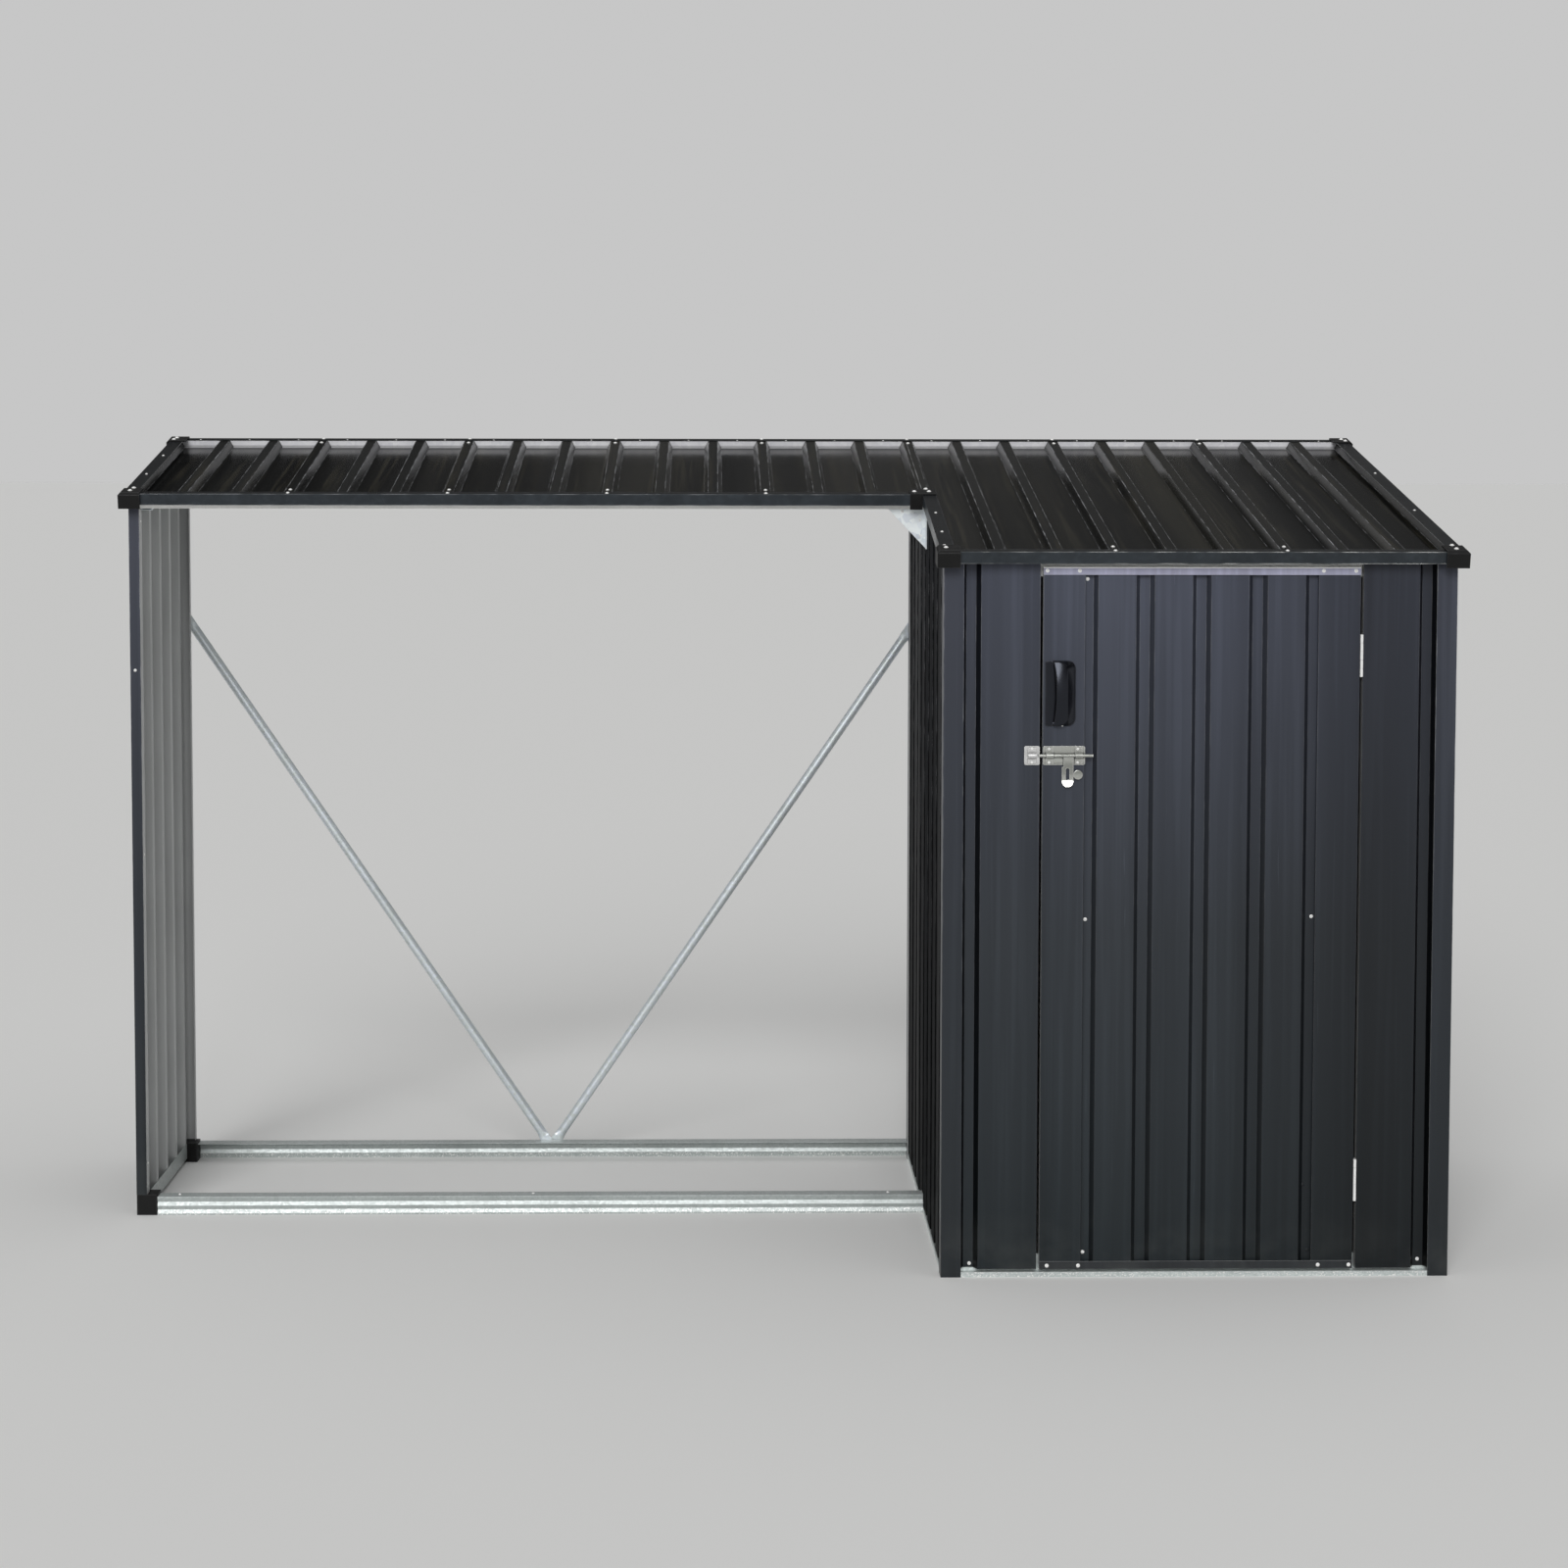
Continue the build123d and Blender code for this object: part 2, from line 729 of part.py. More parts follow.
# Handle: a moulded cup pull, open to the door's free edge
def make_handle():
    face = front_y + sheet
    x = door_left + handle_x
    base_left = x - handle_width / 2
    base_right = x + handle_width / 2
    base_z0 = handle_z - handle_height / 2
    base = block(
        base_left, base_right, face - handle_base, face, base_z0, base_z0 + handle_height
    )
    upright_edges = base.edges().filter_by(Axis.Y).sort_by(Axis.X)
    base = fillet(upright_edges[:2], handle_edge_round)
    base = fillet(base.edges().filter_by(Axis.Y).sort_by(Axis.X)[-2:], handle_corner_round)
    mouth = base_left + handle_mouth
    right = base_right - handle_margin
    hood_line = [(mouth, handle_proud), (mouth + handle_grip, handle_proud), (right, handle_base)]
    room_line = offset_path(hood_line, handle_wall)
    outline = hood_line + [(right, 0), (mouth, 0)]
    room_outline = [(mouth - handle_wall, handle_proud - handle_wall)] + room_line[1:]
    room_outline += [(room_line[-1][0], 0), (mouth - handle_wall, 0)]
    height = handle_height - 2 * handle_margin
    cup = hood_solid(outline, height, handle_corner_round)
    room = hood_solid(room_outline, height - 2 * handle_wall, handle_corner_round - handle_wall)
    bow_radius = (height * height / 4 + handle_bow * handle_bow) / (2 * handle_bow)
    bow = Pos(mouth + handle_bow - bow_radius, face, handle_z) * (
        Rotation(90, 0, 0) * Cylinder(bow_radius, 2 * handle_proud + handle_wall)
    )
    return {"door_handle": base + (cup - room - bow)}


def hood_solid(outline, height, corner_round):
    """A hood's outline in x and outward depth, stood up, its two sloping corners rounded."""
    face = front_y + sheet
    low = handle_z - height / 2
    solid = Pos(0, 0, low) * prism([(x, face - out) for x, out in outline], height)
    slope_x = (outline[1][0] + outline[2][0]) / 2
    slope_y = face - (outline[1][1] + outline[2][1]) / 2
    corners = []
    for z in (low, low + height):
        place = Vertex(slope_x, slope_y, z)
        corners += solid.edges().sort_by_distance(place)[:1]
    return fillet(corners, corner_round)


# Barrel bolt, drawn back
def across(x, radius, length):
    """A round bar along X, its left end at x."""
    return Pos(x + length / 2, rod_y, bolt_z) * (Rotation(0, 90, 0) * Cylinder(radius, length))


def strap(x0, width, plate_y):
    """A band bent over the rod, with a flat foot above and below it."""
    inner = bolt_rod_radius + bolt_rod_play
    outer = inner + bolt_strap_steel
    foot = bolt_plate_height / 2 - bolt_foot_margin
    x1 = x0 + width
    solid = across(x0, outer, width)
    solid += block(x0, x1, rod_y, plate_y, bolt_z - outer, bolt_z + outer)
    solid += block(x0, x1, plate_y - bolt_strap_steel, plate_y, bolt_z - foot, bolt_z + foot)
    hollow = across(x0, inner, width)
    hollow += block(x0, x1, rod_y, plate_y, bolt_z - inner, bolt_z + inner)
    return solid - hollow


def bolt_face(x0, width, back_y):
    """A plate with rounded corners, its back at back_y."""
    outline = RectangleRounded(width, bolt_plate_height, bolt_plate_round)
    return Pos(x0 + width / 2, back_y, bolt_z) * extrude(Plane.XZ * outline, amount=bolt_plate_steel)


def hasp(x0):
    """The slotted tab below the rod, cranked in and out again, with its thumb piece."""
    back = hasp_steel / 2
    side = [
        (back, 0),
        (back + hasp_in, -hasp_waist_drop),
        (back + hasp_in, -hasp_toe_drop),
        (back + hasp_in - hasp_toe, -hasp_drop),
    ]
    x1 = x0 + hasp_waist
    left = x1 - hasp_width
    bent = Pos(left, rod_y, bolt_z) * (in_from_front * folded(side, hasp_steel, hasp_width))
    middle = x1 - hasp_width / 2
    end_z = -hasp_drop + hasp_width / 2
    outline = Pos(x0 + hasp_waist / 2, -hasp_waist_drop / 2) * Rectangle(hasp_waist, hasp_waist_drop)
    outline += Pos(middle, (end_z - hasp_waist_drop) / 2) * Rectangle(hasp_width, -end_z - hasp_waist_drop)
    outline += Pos(middle, end_z) * Circle(hasp_width / 2)
    outline -= Pos(middle, -hasp_slot_drop) * SlotOverall(hasp_slot_height, hasp_slot_width, rotation=90)
    pattern = Pos(0, rod_y, bolt_z) * extrude(Plane.XZ * outline, amount=hasp_drop, both=True)
    thumb = Cylinder(thumb_radius, thumb_steel)
    thumb = fillet(thumb.edges().sort_by(Axis.Z)[-1:], thumb_round)
    thumb_y = rod_y + back + hasp_in - thumb_steel / 2
    thumb = Pos(x1 + thumb_radius - thumb_overlap, thumb_y, bolt_z - thumb_drop) * (
        Rotation(90, 0, 0) * thumb
    )
    return (bent & pattern) + thumb


def make_bolt():
    plate_x = door_left + bolt_inset
    inner_strap = plate_x + bolt_strap_inset
    outer_strap = plate_x + bolt_plate_width - bolt_strap_inset - bolt_strap_width
    plate = bolt_face(plate_x, bolt_plate_width, front_y + sheet)
    plate += strap(inner_strap, bolt_strap_width, bolt_plate_y)
    plate += strap(outer_strap, bolt_strap_width, bolt_plate_y)
    staple_x = door_left - door_gap - staple_width
    loop_x = staple_x + (staple_width - staple_loop_width) / 2
    staple_back = front_y + steel
    staple = bolt_face(staple_x, staple_width, staple_back)
    staple += strap(loop_x, staple_loop_width, staple_back - bolt_plate_steel)
    rod = across(loop_x + staple_loop_width + bolt_tip_gap, bolt_rod_radius, bolt_rod_length)
    hasp_x = inner_strap + bolt_strap_width + bolt_rod_play + bolt_travel
    return {"bolt_plate": plate, "bolt_staple": staple, "bolt_rod": rod + hasp(hasp_x)}


parts = {}
parts |= make_roof_sheets()
parts |= make_trims()
parts |= make_caps()
parts |= make_cupboard_walls()
parts |= make_front_panels()
parts |= make_corner_posts()
parts |= make_cupboard_frame()
parts |= make_log_bay()
parts |= make_log_bay_frame()
parts |= make_braces()
parts |= make_gusset()
parts |= make_door()
parts |= make_hinges()
parts |= make_handle()
parts |= make_bolt()

os.makedirs("parts", exist_ok=True)
for name, shape in parts.items():
    export_step(shape, f"parts/{name}.step")
print(len(parts), "nodes")
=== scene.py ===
# %% [markdown]
# # A steel log store with a tool cupboard
# The store is a low frame of folded steel, clad in ribbed sheet under one pent roof. The left
# part is an open bay for logs, and the right part is a deeper cupboard with a hinged door.
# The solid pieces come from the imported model, which stays fixed. This lesson gives every
# piece its finish, adds the screws that hold it together, and lights it plainly.

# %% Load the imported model
import math

import bmesh
import bpy
from mathutils import Matrix, Vector
from mathutils.bvhtree import BVHTree


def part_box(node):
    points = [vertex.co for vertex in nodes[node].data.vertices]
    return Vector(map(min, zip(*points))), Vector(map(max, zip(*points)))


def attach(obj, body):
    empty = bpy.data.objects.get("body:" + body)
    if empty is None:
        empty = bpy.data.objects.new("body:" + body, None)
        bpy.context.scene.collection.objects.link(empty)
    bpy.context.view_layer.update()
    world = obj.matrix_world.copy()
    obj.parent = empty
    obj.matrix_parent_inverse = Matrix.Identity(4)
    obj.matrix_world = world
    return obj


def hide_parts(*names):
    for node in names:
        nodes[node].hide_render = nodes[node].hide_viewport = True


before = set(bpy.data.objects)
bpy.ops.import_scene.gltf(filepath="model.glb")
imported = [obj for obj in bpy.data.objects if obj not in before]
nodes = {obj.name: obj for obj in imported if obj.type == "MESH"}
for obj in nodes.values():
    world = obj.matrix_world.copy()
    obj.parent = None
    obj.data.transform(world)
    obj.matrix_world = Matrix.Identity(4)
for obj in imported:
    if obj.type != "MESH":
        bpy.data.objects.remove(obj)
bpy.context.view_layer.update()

# %% [markdown]
# ## New objects
# The camera, the pull, the screws, the tabs, the floor and the lamp are all added here. Blender
# shows a new object only when it is linked to the scene, so one helper does both.

# %% Bring an object in
def bring_in(name, data):
    """A new object in the scene, made from a mesh, a lamp or a lens."""
    newcomer = bpy.data.objects.new(name, data)
    bpy.context.scene.collection.objects.link(newcomer)
    return newcomer


# %% [markdown]
# ## The camera
# A photograph of a building is easiest to match when the camera is solved first. This one
# stands about five metres in front, a little above the roof's front edge, and looks slightly
# down. A lens shift keeps the posts nearly upright, as a photographer does by cropping. The
# shift is only as large as the picture needs.

# %% Stand the camera where the photograph was taken
PICTURE_SIDE = 1600
FOCAL_PIXELS = 2934.1
YAW = -0.018
PITCH = 0.0598
ROLL = 0.0012
EYE = Vector((-0.0988, -5.5202, 1.4345))
OPTICAL_CENTRE = (781.3, 658.4)

level_right = Vector((math.cos(YAW), math.sin(YAW), 0))
ahead = Vector((-math.cos(PITCH) * math.sin(YAW), math.cos(PITCH) * math.cos(YAW), -math.sin(PITCH)))
level_up = level_right.cross(ahead)
right = level_right * math.cos(ROLL) + level_up * math.sin(ROLL)
up = level_up * math.cos(ROLL) - level_right * math.sin(ROLL)

lens = bpy.data.cameras.new("garden_camera")
lens.sensor_width = 36
lens.lens = FOCAL_PIXELS / PICTURE_SIDE * lens.sensor_width
lens.shift_x = (PICTURE_SIDE / 2 - OPTICAL_CENTRE[0]) / PICTURE_SIDE
lens.shift_y = (OPTICAL_CENTRE[1] - PICTURE_SIDE / 2) / PICTURE_SIDE
camera = bring_in("garden_camera", lens)
camera.matrix_world = Matrix((
    (right.x, up.x, -ahead.x, EYE.x),
    (right.y, up.y, -ahead.y, EYE.y),
    (right.z, up.z, -ahead.z, EYE.z),
    (0, 0, 0, 1),
))
bpy.context.scene.camera = camera
print("lens", round(lens.lens, 1), "mm, shift", round(lens.shift_x, 4), round(lens.shift_y, 4))

# %% [markdown]
# ## Helpers for finishes
# Every finish here is mixed from nodes, in each piece's own coordinates, so the pattern moves
# with the door when it opens. A few small helpers keep the recipes short: a noise that may be
# stretched along an axis, a ramp that turns a grey value into another range, a blend of two
# colours, and a bump. The sky is mixed with them too.

# %% Start a finish
def start_finish(name, shine=0.5):
    """A new material with its shader and the piece's own coordinates."""
    finish = bpy.data.materials.new(name)
    finish.use_nodes = True
    shader = finish.node_tree.nodes["Principled BSDF"]
    shader.inputs["Specular IOR Level"].default_value = shine
    place = finish.node_tree.nodes.new("ShaderNodeTexCoord")
    return finish, shader, place


def add(finish, kind):
    return finish.node_tree.nodes.new(kind)


def wire(finish, source, target):
    finish.node_tree.links.new(source, target)


# %% Patterns to mix from
def noise(finish, place, scale, detail=3.0, stretch=(1, 1, 1)):
    """Grey noise. A small number in stretch draws the pattern out along that axis."""
    mapping = add(finish, "ShaderNodeMapping")
    mapping.inputs["Scale"].default_value = stretch
    wire(finish, place.outputs["Object"], mapping.inputs["Vector"])
    pattern = add(finish, "ShaderNodeTexNoise")
    pattern.inputs["Scale"].default_value = scale
    pattern.inputs["Detail"].default_value = detail
    wire(finish, mapping.outputs["Vector"], pattern.inputs["Vector"])
    return pattern.outputs["Fac"]


def spread(finish, source, low, high, to_low=0.0, to_high=1.0):
    """Stretches the part of a grey value between low and high over a new range."""
    step = add(finish, "ShaderNodeMapRange")
    limits = {"From Min": low, "From Max": high, "To Min": to_low, "To Max": to_high}
    for limit, value in limits.items():
        step.inputs[limit].default_value = value
    wire(finish, source, step.inputs["Value"])
    return step.outputs["Result"]


def times(finish, first, second):
    product = add(finish, "ShaderNodeMath")
    product.operation = "MULTIPLY"
    wire(finish, first, product.inputs[0])
    wire(finish, second, product.inputs[1])
    return product.outputs["Value"]


def dot(finish, vector, direction):
    """How far a vector reaches along a direction, which is a plain vector or a socket."""
    product = add(finish, "ShaderNodeVectorMath")
    product.operation = "DOT_PRODUCT"
    wire(finish, vector, product.inputs[0])
    if isinstance(direction, bpy.types.NodeSocket):
        wire(finish, direction, product.inputs[1])
    else:
        product.inputs[1].default_value = direction
    return product.outputs["Value"]


def colour_sockets(sockets):
    """Those of a Mix node's sockets that carry a colour."""
    return [socket for socket in sockets if socket.type == "RGBA"]


def blend_colours(finish, amount, under, over):
    """Colour under where amount is 0, over where it is 1. Each is a colour or a socket."""
    mix = add(finish, "ShaderNodeMix")
    mix.data_type = "RGBA"
    wire(finish, amount, mix.inputs["Factor"])
    for socket, colour in zip(colour_sockets(mix.inputs), (under, over)):
        if isinstance(colour, tuple):
            socket.default_value = (*colour, 1)
        else:
            wire(finish, colour, socket)
    return colour_sockets(mix.outputs)[0]


def tone(colour, factor):
    return tuple(part * factor for part in colour)


def darken(finish, amount, colour, factor):
    """Multiplies a colour by a factor where amount is 1. A factor above 1 lightens it."""
    mix = add(finish, "ShaderNodeMix")
    mix.data_type = "RGBA"
    mix.blend_type = "MULTIPLY"
    mix.clamp_result = False
    wire(finish, amount, mix.inputs["Factor"])
    first, second = colour_sockets(mix.inputs)
    wire(finish, colour, first)
    second.default_value = (factor, factor, factor, 1)
    return colour_sockets(mix.outputs)[0]


def fill_ramp(ramp, stops):
    """Sets a colour ramp to greys, from pairs of place on the ramp and brightness."""
    for _ in stops[2:]:
        ramp.elements.new(0.5)
    for element, (stop, grey) in zip(ramp.elements, stops):
        element.position = stop
        element.color = (grey, grey, grey, 1)


# %% [markdown]
# ## Folds
# A roll former never leaves a knife edge: each fold has a radius of about a millimetre, and that small
# round is what draws a thin bright line along every rib. Bevelling hundreds of folds in the mesh would
# be heavy, so the shader rounds them instead. The Bevel node gives the normal that a rounded edge would
# have. Where it differs from the flat surface's own normal there is a fold, and the same comparison
# places a lighter line in the colour along each fold, partly where paint has been rubbed thin and
# partly a painted glint.

# %% Round the folds and find their worn places
FOLD_TURN = (0.985, 0.90)
FOLD_SAMPLES = 4


def rounded_folds(finish, radius):
    rounding = add(finish, "ShaderNodeBevel")
    rounding.samples = FOLD_SAMPLES
    rounding.inputs["Radius"].default_value = radius
    return rounding.outputs["Normal"]


def fold_glint_and_wear(finish, place, folds, most, least=0.1):
    """0 on the flats, from least to most along a fold, broken up by noise."""
    surface = add(finish, "ShaderNodeNewGeometry")
    agreement = dot(finish, folds, surface.outputs["True Normal"])
    fold = spread(finish, agreement, *FOLD_TURN)
    rubbed_and_glint = spread(finish, noise(finish, place, 24, 5), 0.44, 0.62, least, most)
    return times(finish, fold, rubbed_and_glint)


def raise_surface(finish, shader, height, distance, strength=1.0, folds=None):
    """Bump from a height, laid over the rounded folds."""
    bump = add(finish, "ShaderNodeBump")
    bump.inputs["Distance"].default_value = distance
    bump.inputs["Strength"].default_value = strength
    wire(finish, height, bump.inputs["Height"])
    if folds is not None:
        wire(finish, folds, bump.inputs["Normal"])
    wire(finish, bump.outputs["Normal"], shader.inputs["Normal"])


# %% [markdown]
# ## Which side of the sheet
# Coil coated steel is painted on one side in the colour that sells it, and on the other in a
# thin pale back coat. Each sheet is one solid, so the shader asks which way a surface faces:
# the normal, taken in the piece's own space, points either with the sheet's outside or
# against it. The slopes of the ribs still lean outward, so one test serves the whole sheet.

# %% Find the outside and the height
def looks_along(finish, place, outward):
    """1 where the surface looks straight outward, 0 where it looks across, -1 on the back."""
    return dot(finish, place.outputs["Normal"], Vector(outward).normalized())


def along(finish, place, axis):
    """The place along X, Y or Z, in metres."""
    split = add(finish, "ShaderNodeSeparateXYZ")
    wire(finish, place.outputs["Object"], split.inputs["Vector"])
    return split.outputs[axis]


REFLECTION_HEIGHTS = (0.02, 0.62, 1.27)


def reflection_by_height(finish, place, foot, middle, top):
    """Three shades of one paint, at the ground, at half height and under the roof: a painted
    reflection, lighter and bluer under the roof.
    """
    height = along(finish, place, "Z")
    lower = blend_colours(finish, spread(finish, height, *REFLECTION_HEIGHTS[:2]), foot, middle)
    return blend_colours(finish, spread(finish, height, *REFLECTION_HEIGHTS[1:]), lower, top)


# %% [markdown]
# ## The coil coat
# The paint is baked on before the steel is rolled. Close to, it has a faint orange peel, and over a
# whole wall it is never one flat colour. It is painted bluer and lighter under the roof and greener and
# darker near the ground, a painted reflection of the sky above and the ground below. Rain leaves soft
# upright runs, and finer upright stripes are painted lighter as painted reflections. The slopes of the
# grooves are painted darker as painted shade. Fine scratches are painted lighter, partly as a painted
# glint, and so is a thin line along each fold, partly rubbed paint and partly a painted glint, which
# grows stronger from half a metre up to the shoulder. Each of these is one noise or one mask at its own
# scale, laid in faintly, and the runs, stripes and clouds are multiplied in, so that they keep the
# paint's own hue. The shine is a constant on the shader's own socket: baked paint reflects less than
# bare plastic does.

# %% Mix the coil coat
COAT_SHINE = 0.25
BACK_COAT = (0.50, 0.51, 0.51)
DUST = (0.10, 0.105, 0.10)
DUST_HEIGHT = 0.12
RUBBED_AND_GLINT = (0.40, 0.41, 0.43)
RUBBED_AND_GLINT_WIDTH = 0.0024
RUN_TONE, REFLECTION_STRIPE_TONE, CLOUD_TONE, SCRATCH_GLINT_TONE = 0.76, 1.20, 1.12, 2.2
GLINT_AND_WEAR_HEIGHTS = (0.45, 1.15)
FOLD_RADIUS = 0.0014
SLOPE_SHADE_TURN = (0.92, 0.55)
PAINTED_SIDE = (0.08, 0.12)
PEEL_HEIGHT = 0.00010
UPRIGHT = (1, 1, 0.02)


def weathered(finish, place, paint, streak):
    """Soft runs, finer pinstripes painted lighter as painted reflections, and large clouds, all in the
    paint's own hue.
    """
    runs = spread(finish, noise(finish, place, 16, 3, streak), 0.38, 0.66)
    paint = darken(finish, runs, paint, RUN_TONE)
    # The pinstripes are painted reflections: lighter upright bands.
    reflection_stripes = spread(finish, noise(finish, place, 75, 2, streak), 0.48, 0.64)
    paint = darken(finish, reflection_stripes, paint, REFLECTION_STRIPE_TONE)
    cloud = spread(finish, noise(finish, place, 1.7, 2), 0.40, 0.70)
    return darken(finish, cloud, paint, CLOUD_TONE)


def coil_coat(
    name, outward, shades, gloss, shine=COAT_SHINE,
    streak=UPRIGHT, back=BACK_COAT, glint_and_wear=0.6, slope_shade=0.14, rubbed_and_glint=RUBBED_AND_GLINT, peel=0.5,
):
    """Painted outside, pale back coat inside. gloss gives the roughness from shiny to dull."""
    finish, shader, place = start_finish(name, shine)
    # The three shades by height are a painted reflection, lighter and bluer under the roof.
    paint = weathered(finish, place, reflection_by_height(finish, place, *shades), streak)
    facing = looks_along(finish, place, outward)
    # Painted shade: the slopes of the grooves, which look across rather than outward, are darkened.
    paint = darken(finish, spread(finish, facing, *SLOPE_SHADE_TURN), paint, slope_shade)
    # Thin upright scratches, painted lighter: partly scratches, partly a painted glint.
    scratch_glint = spread(finish, noise(finish, place, 150, 2, (1, 1, 0.03)), 0.74, 0.77, 0, 0.3)
    paint = darken(finish, scratch_glint, paint, SCRATCH_GLINT_TONE)
    # A lighter line along each fold: partly paint rubbed thin, partly a painted glint, stronger higher
    # up.
    worn_and_glint = fold_glint_and_wear(finish, place, rounded_folds(finish, RUBBED_AND_GLINT_WIDTH), glint_and_wear)
    reached = spread(finish, along(finish, place, "Z"), *GLINT_AND_WEAR_HEIGHTS, 0.15, 1)
    paint = blend_colours(finish, times(finish, worn_and_glint, reached), paint, rubbed_and_glint)
    low = spread(finish, along(finish, place, "Z"), DUST_HEIGHT, 0, 0, 0.35)
    patchy = spread(finish, noise(finish, place, 14, 5), 0.42, 0.75)
    paint = blend_colours(finish, times(finish, low, patchy), paint, DUST)
    back_cloud = spread(finish, noise(finish, place, 5, 3), 0.3, 0.7)
    back_paint = blend_colours(finish, back_cloud, back, tone(back, 0.88))
    painted = spread(finish, facing, *PAINTED_SIDE)
    wire(finish, blend_colours(finish, painted, back_paint, paint), shader.inputs["Base Color"])
    smear = noise(finish, place, 9, 4, streak)
    wire(finish, spread(finish, smear, 0.32, 0.68, *gloss), shader.inputs["Roughness"])
    folds = rounded_folds(finish, FOLD_RADIUS)
    raise_surface(finish, shader, noise(finish, place, 420, 2), PEEL_HEIGHT, peel, folds)
    return finish


def dress(finish, *names):
    """Puts a finish in every material slot of the named pieces."""
    for name in names:
        slots = nodes[name].data.materials
        if not slots:
            slots.append(finish)
        for index in range(len(slots)):
            slots[index] = finish


# %% [markdown]
# ## Walls, panels and door
# These are all the same sheet, a bluish anthracite with a soft gloss. The walls only differ in which
# way they look, so one recipe is repeated with another outward direction. The door is painted a little
# lighter towards its top, a painted reflection. The wall beside the log bay is painted much darker than
# the others, as painted shade under the roof, and its gloss is streaky.

# %% Coat the walls, panels and door
WALL_SHADES = ((0.014, 0.019, 0.022), (0.030, 0.035, 0.042), (0.052, 0.058, 0.080))
# The door's top shade is lighter still, a painted reflection.
DOOR_SHADES = (WALL_SHADES[0], WALL_SHADES[1], tone(WALL_SHADES[2], 1.28))
# Painted shade: the wall beside the log bay is a much darker copy of the wall paint.
SHADOWED_WALL_SHADES = ((0.007, 0.008, 0.009), (0.008, 0.009, 0.011), (0.010, 0.011, 0.014))
FRONT_GLOSS = (0.30, 0.44)
WALL_GLOSS = (0.32, 0.46)
SHADOWED_WALL_GLOSS = (0.50, 0.95)
FRONT, REAR, LEFT, RIGHT = (0, -1, 0), (0, 1, 0), (-1, 0, 0), (1, 0, 0)
wall_finishes = {
    "front": coil_coat("front_sheet_coat", FRONT, WALL_SHADES, FRONT_GLOSS, glint_and_wear=0.4),
    "rear": coil_coat("rear_sheet_coat", REAR, WALL_SHADES, WALL_GLOSS),
    "left": coil_coat("left_sheet_coat", LEFT, WALL_SHADES, WALL_GLOSS),
    "right": coil_coat("right_sheet_coat", RIGHT, WALL_SHADES, WALL_GLOSS),
    "door": coil_coat("door_sheet_coat", FRONT, DOOR_SHADES, FRONT_GLOSS, glint_and_wear=0.35),
    "shadowed": coil_coat("shadowed_sheet_coat", LEFT, SHADOWED_WALL_SHADES, SHADOWED_WALL_GLOSS, shine=0.05),
}
for node, side in (
    ("front_panel_left", "front"), ("front_panel_right", "front"), ("door_sheet", "door"),
    ("door_stiles", "door"), ("cupboard_rear_wall", "rear"), ("cupboard_right_wall", "right"),
    ("cupboard_left_wall", "shadowed"), ("log_side_wall", "left"),
):
    dress(wall_finishes[side], node)
print("coated the walls, panels and door")


# %% [markdown]
# ## Shade towards the hinges
# The front of the cupboard is a little darker towards its right corner. The base colour of
# the front sheets is taken out of its socket, multiplied by a ramp along X, and put back. A
# finish is opened again like this wherever one kind of piece needs something of its own.

# %% Open a finish again
def reopen(finish):
    """The shader of a finish, its coordinates, and the colour that reaches it now."""
    shader = finish.node_tree.nodes["Principled BSDF"]
    place = [node for node in finish.node_tree.nodes if node.type == "TEX_COORD"][0]
    return shader, place, shader.inputs["Base Color"].links[0].from_socket


# %% Shade the front towards the hinges
def shade_across(finish, start, end, factor):
    """Darkens a finish along X, from nothing at start to the whole factor at end."""
    shader, place, colour = reopen(finish)
    amount = spread(finish, along(finish, place, "X"), start, end)
    wire(finish, darken(finish, amount, colour, factor), shader.inputs["Base Color"])


HINGE_SHADE = (0.76, 1.04, 0.53)
for side in ("front", "door"):
    shade_across(wall_finishes[side], *HINGE_SHADE)
print("shaded the front over", round(HINGE_SHADE[1] - HINGE_SHADE[0], 2), "m")

# %% [markdown]
# ## The door's two rails
# The rails are short channels that close the door at its top and bottom. The upper one is painted pale,
# a painted reflection of the sky, while the lower one is as dark as the wall beside it. They are one
# piece in the model, so the colour changes with height. A near white painted highlight runs along the
# upper rail's top edge.

# %% Coat the door's rails
RAIL_SHADES = ((0.024, 0.027, 0.030), (0.045, 0.048, 0.058), (0.370, 0.373, 0.490))
RAIL_HIGHLIGHT = (1.0, 1.0, 0.98)
RAIL_HIGHLIGHT_HEIGHT = 0.0022
RAIL_HIGHLIGHT_BLUR = 0.0006
rail_finish = coil_coat("door_rail_coat", FRONT, RAIL_SHADES, (0.34, 0.50), shine=0.3)
shader, place, colour = reopen(rail_finish)
door_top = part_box("door_rails")[1].z
# Painted highlight: the upper rail's top edge is painted near white.
highlight_starts = door_top - RAIL_HIGHLIGHT_HEIGHT
height = along(rail_finish, place, "Z")
top_edge = spread(rail_finish, height, highlight_starts, highlight_starts + RAIL_HIGHLIGHT_BLUR)
highlighted = blend_colours(rail_finish, top_edge, colour, RAIL_HIGHLIGHT)
wire(rail_finish, highlighted, shader.inputs["Base Color"])
dress(rail_finish, "door_rails")
print("coated the door's rails")

# %% [markdown]
# ## The roof
# The roof sheet is darker than the walls, nearly black, and glossier. Seen at a low angle a glossy
# sheet mirrors the sky, so its shine is kept low and its roughness small. Water runs down the slope, so
# the streaks follow it. The ribs' tops are painted greyer than the valleys as painted light, lit tops
# over shaded valleys, and the shader finds them from the height above the sheet. Thin brown streaks of
# grime run down it, where a wide and a narrow noise meet, and a film of dust lies in patches between
# its two ends, which a ramp along X places.

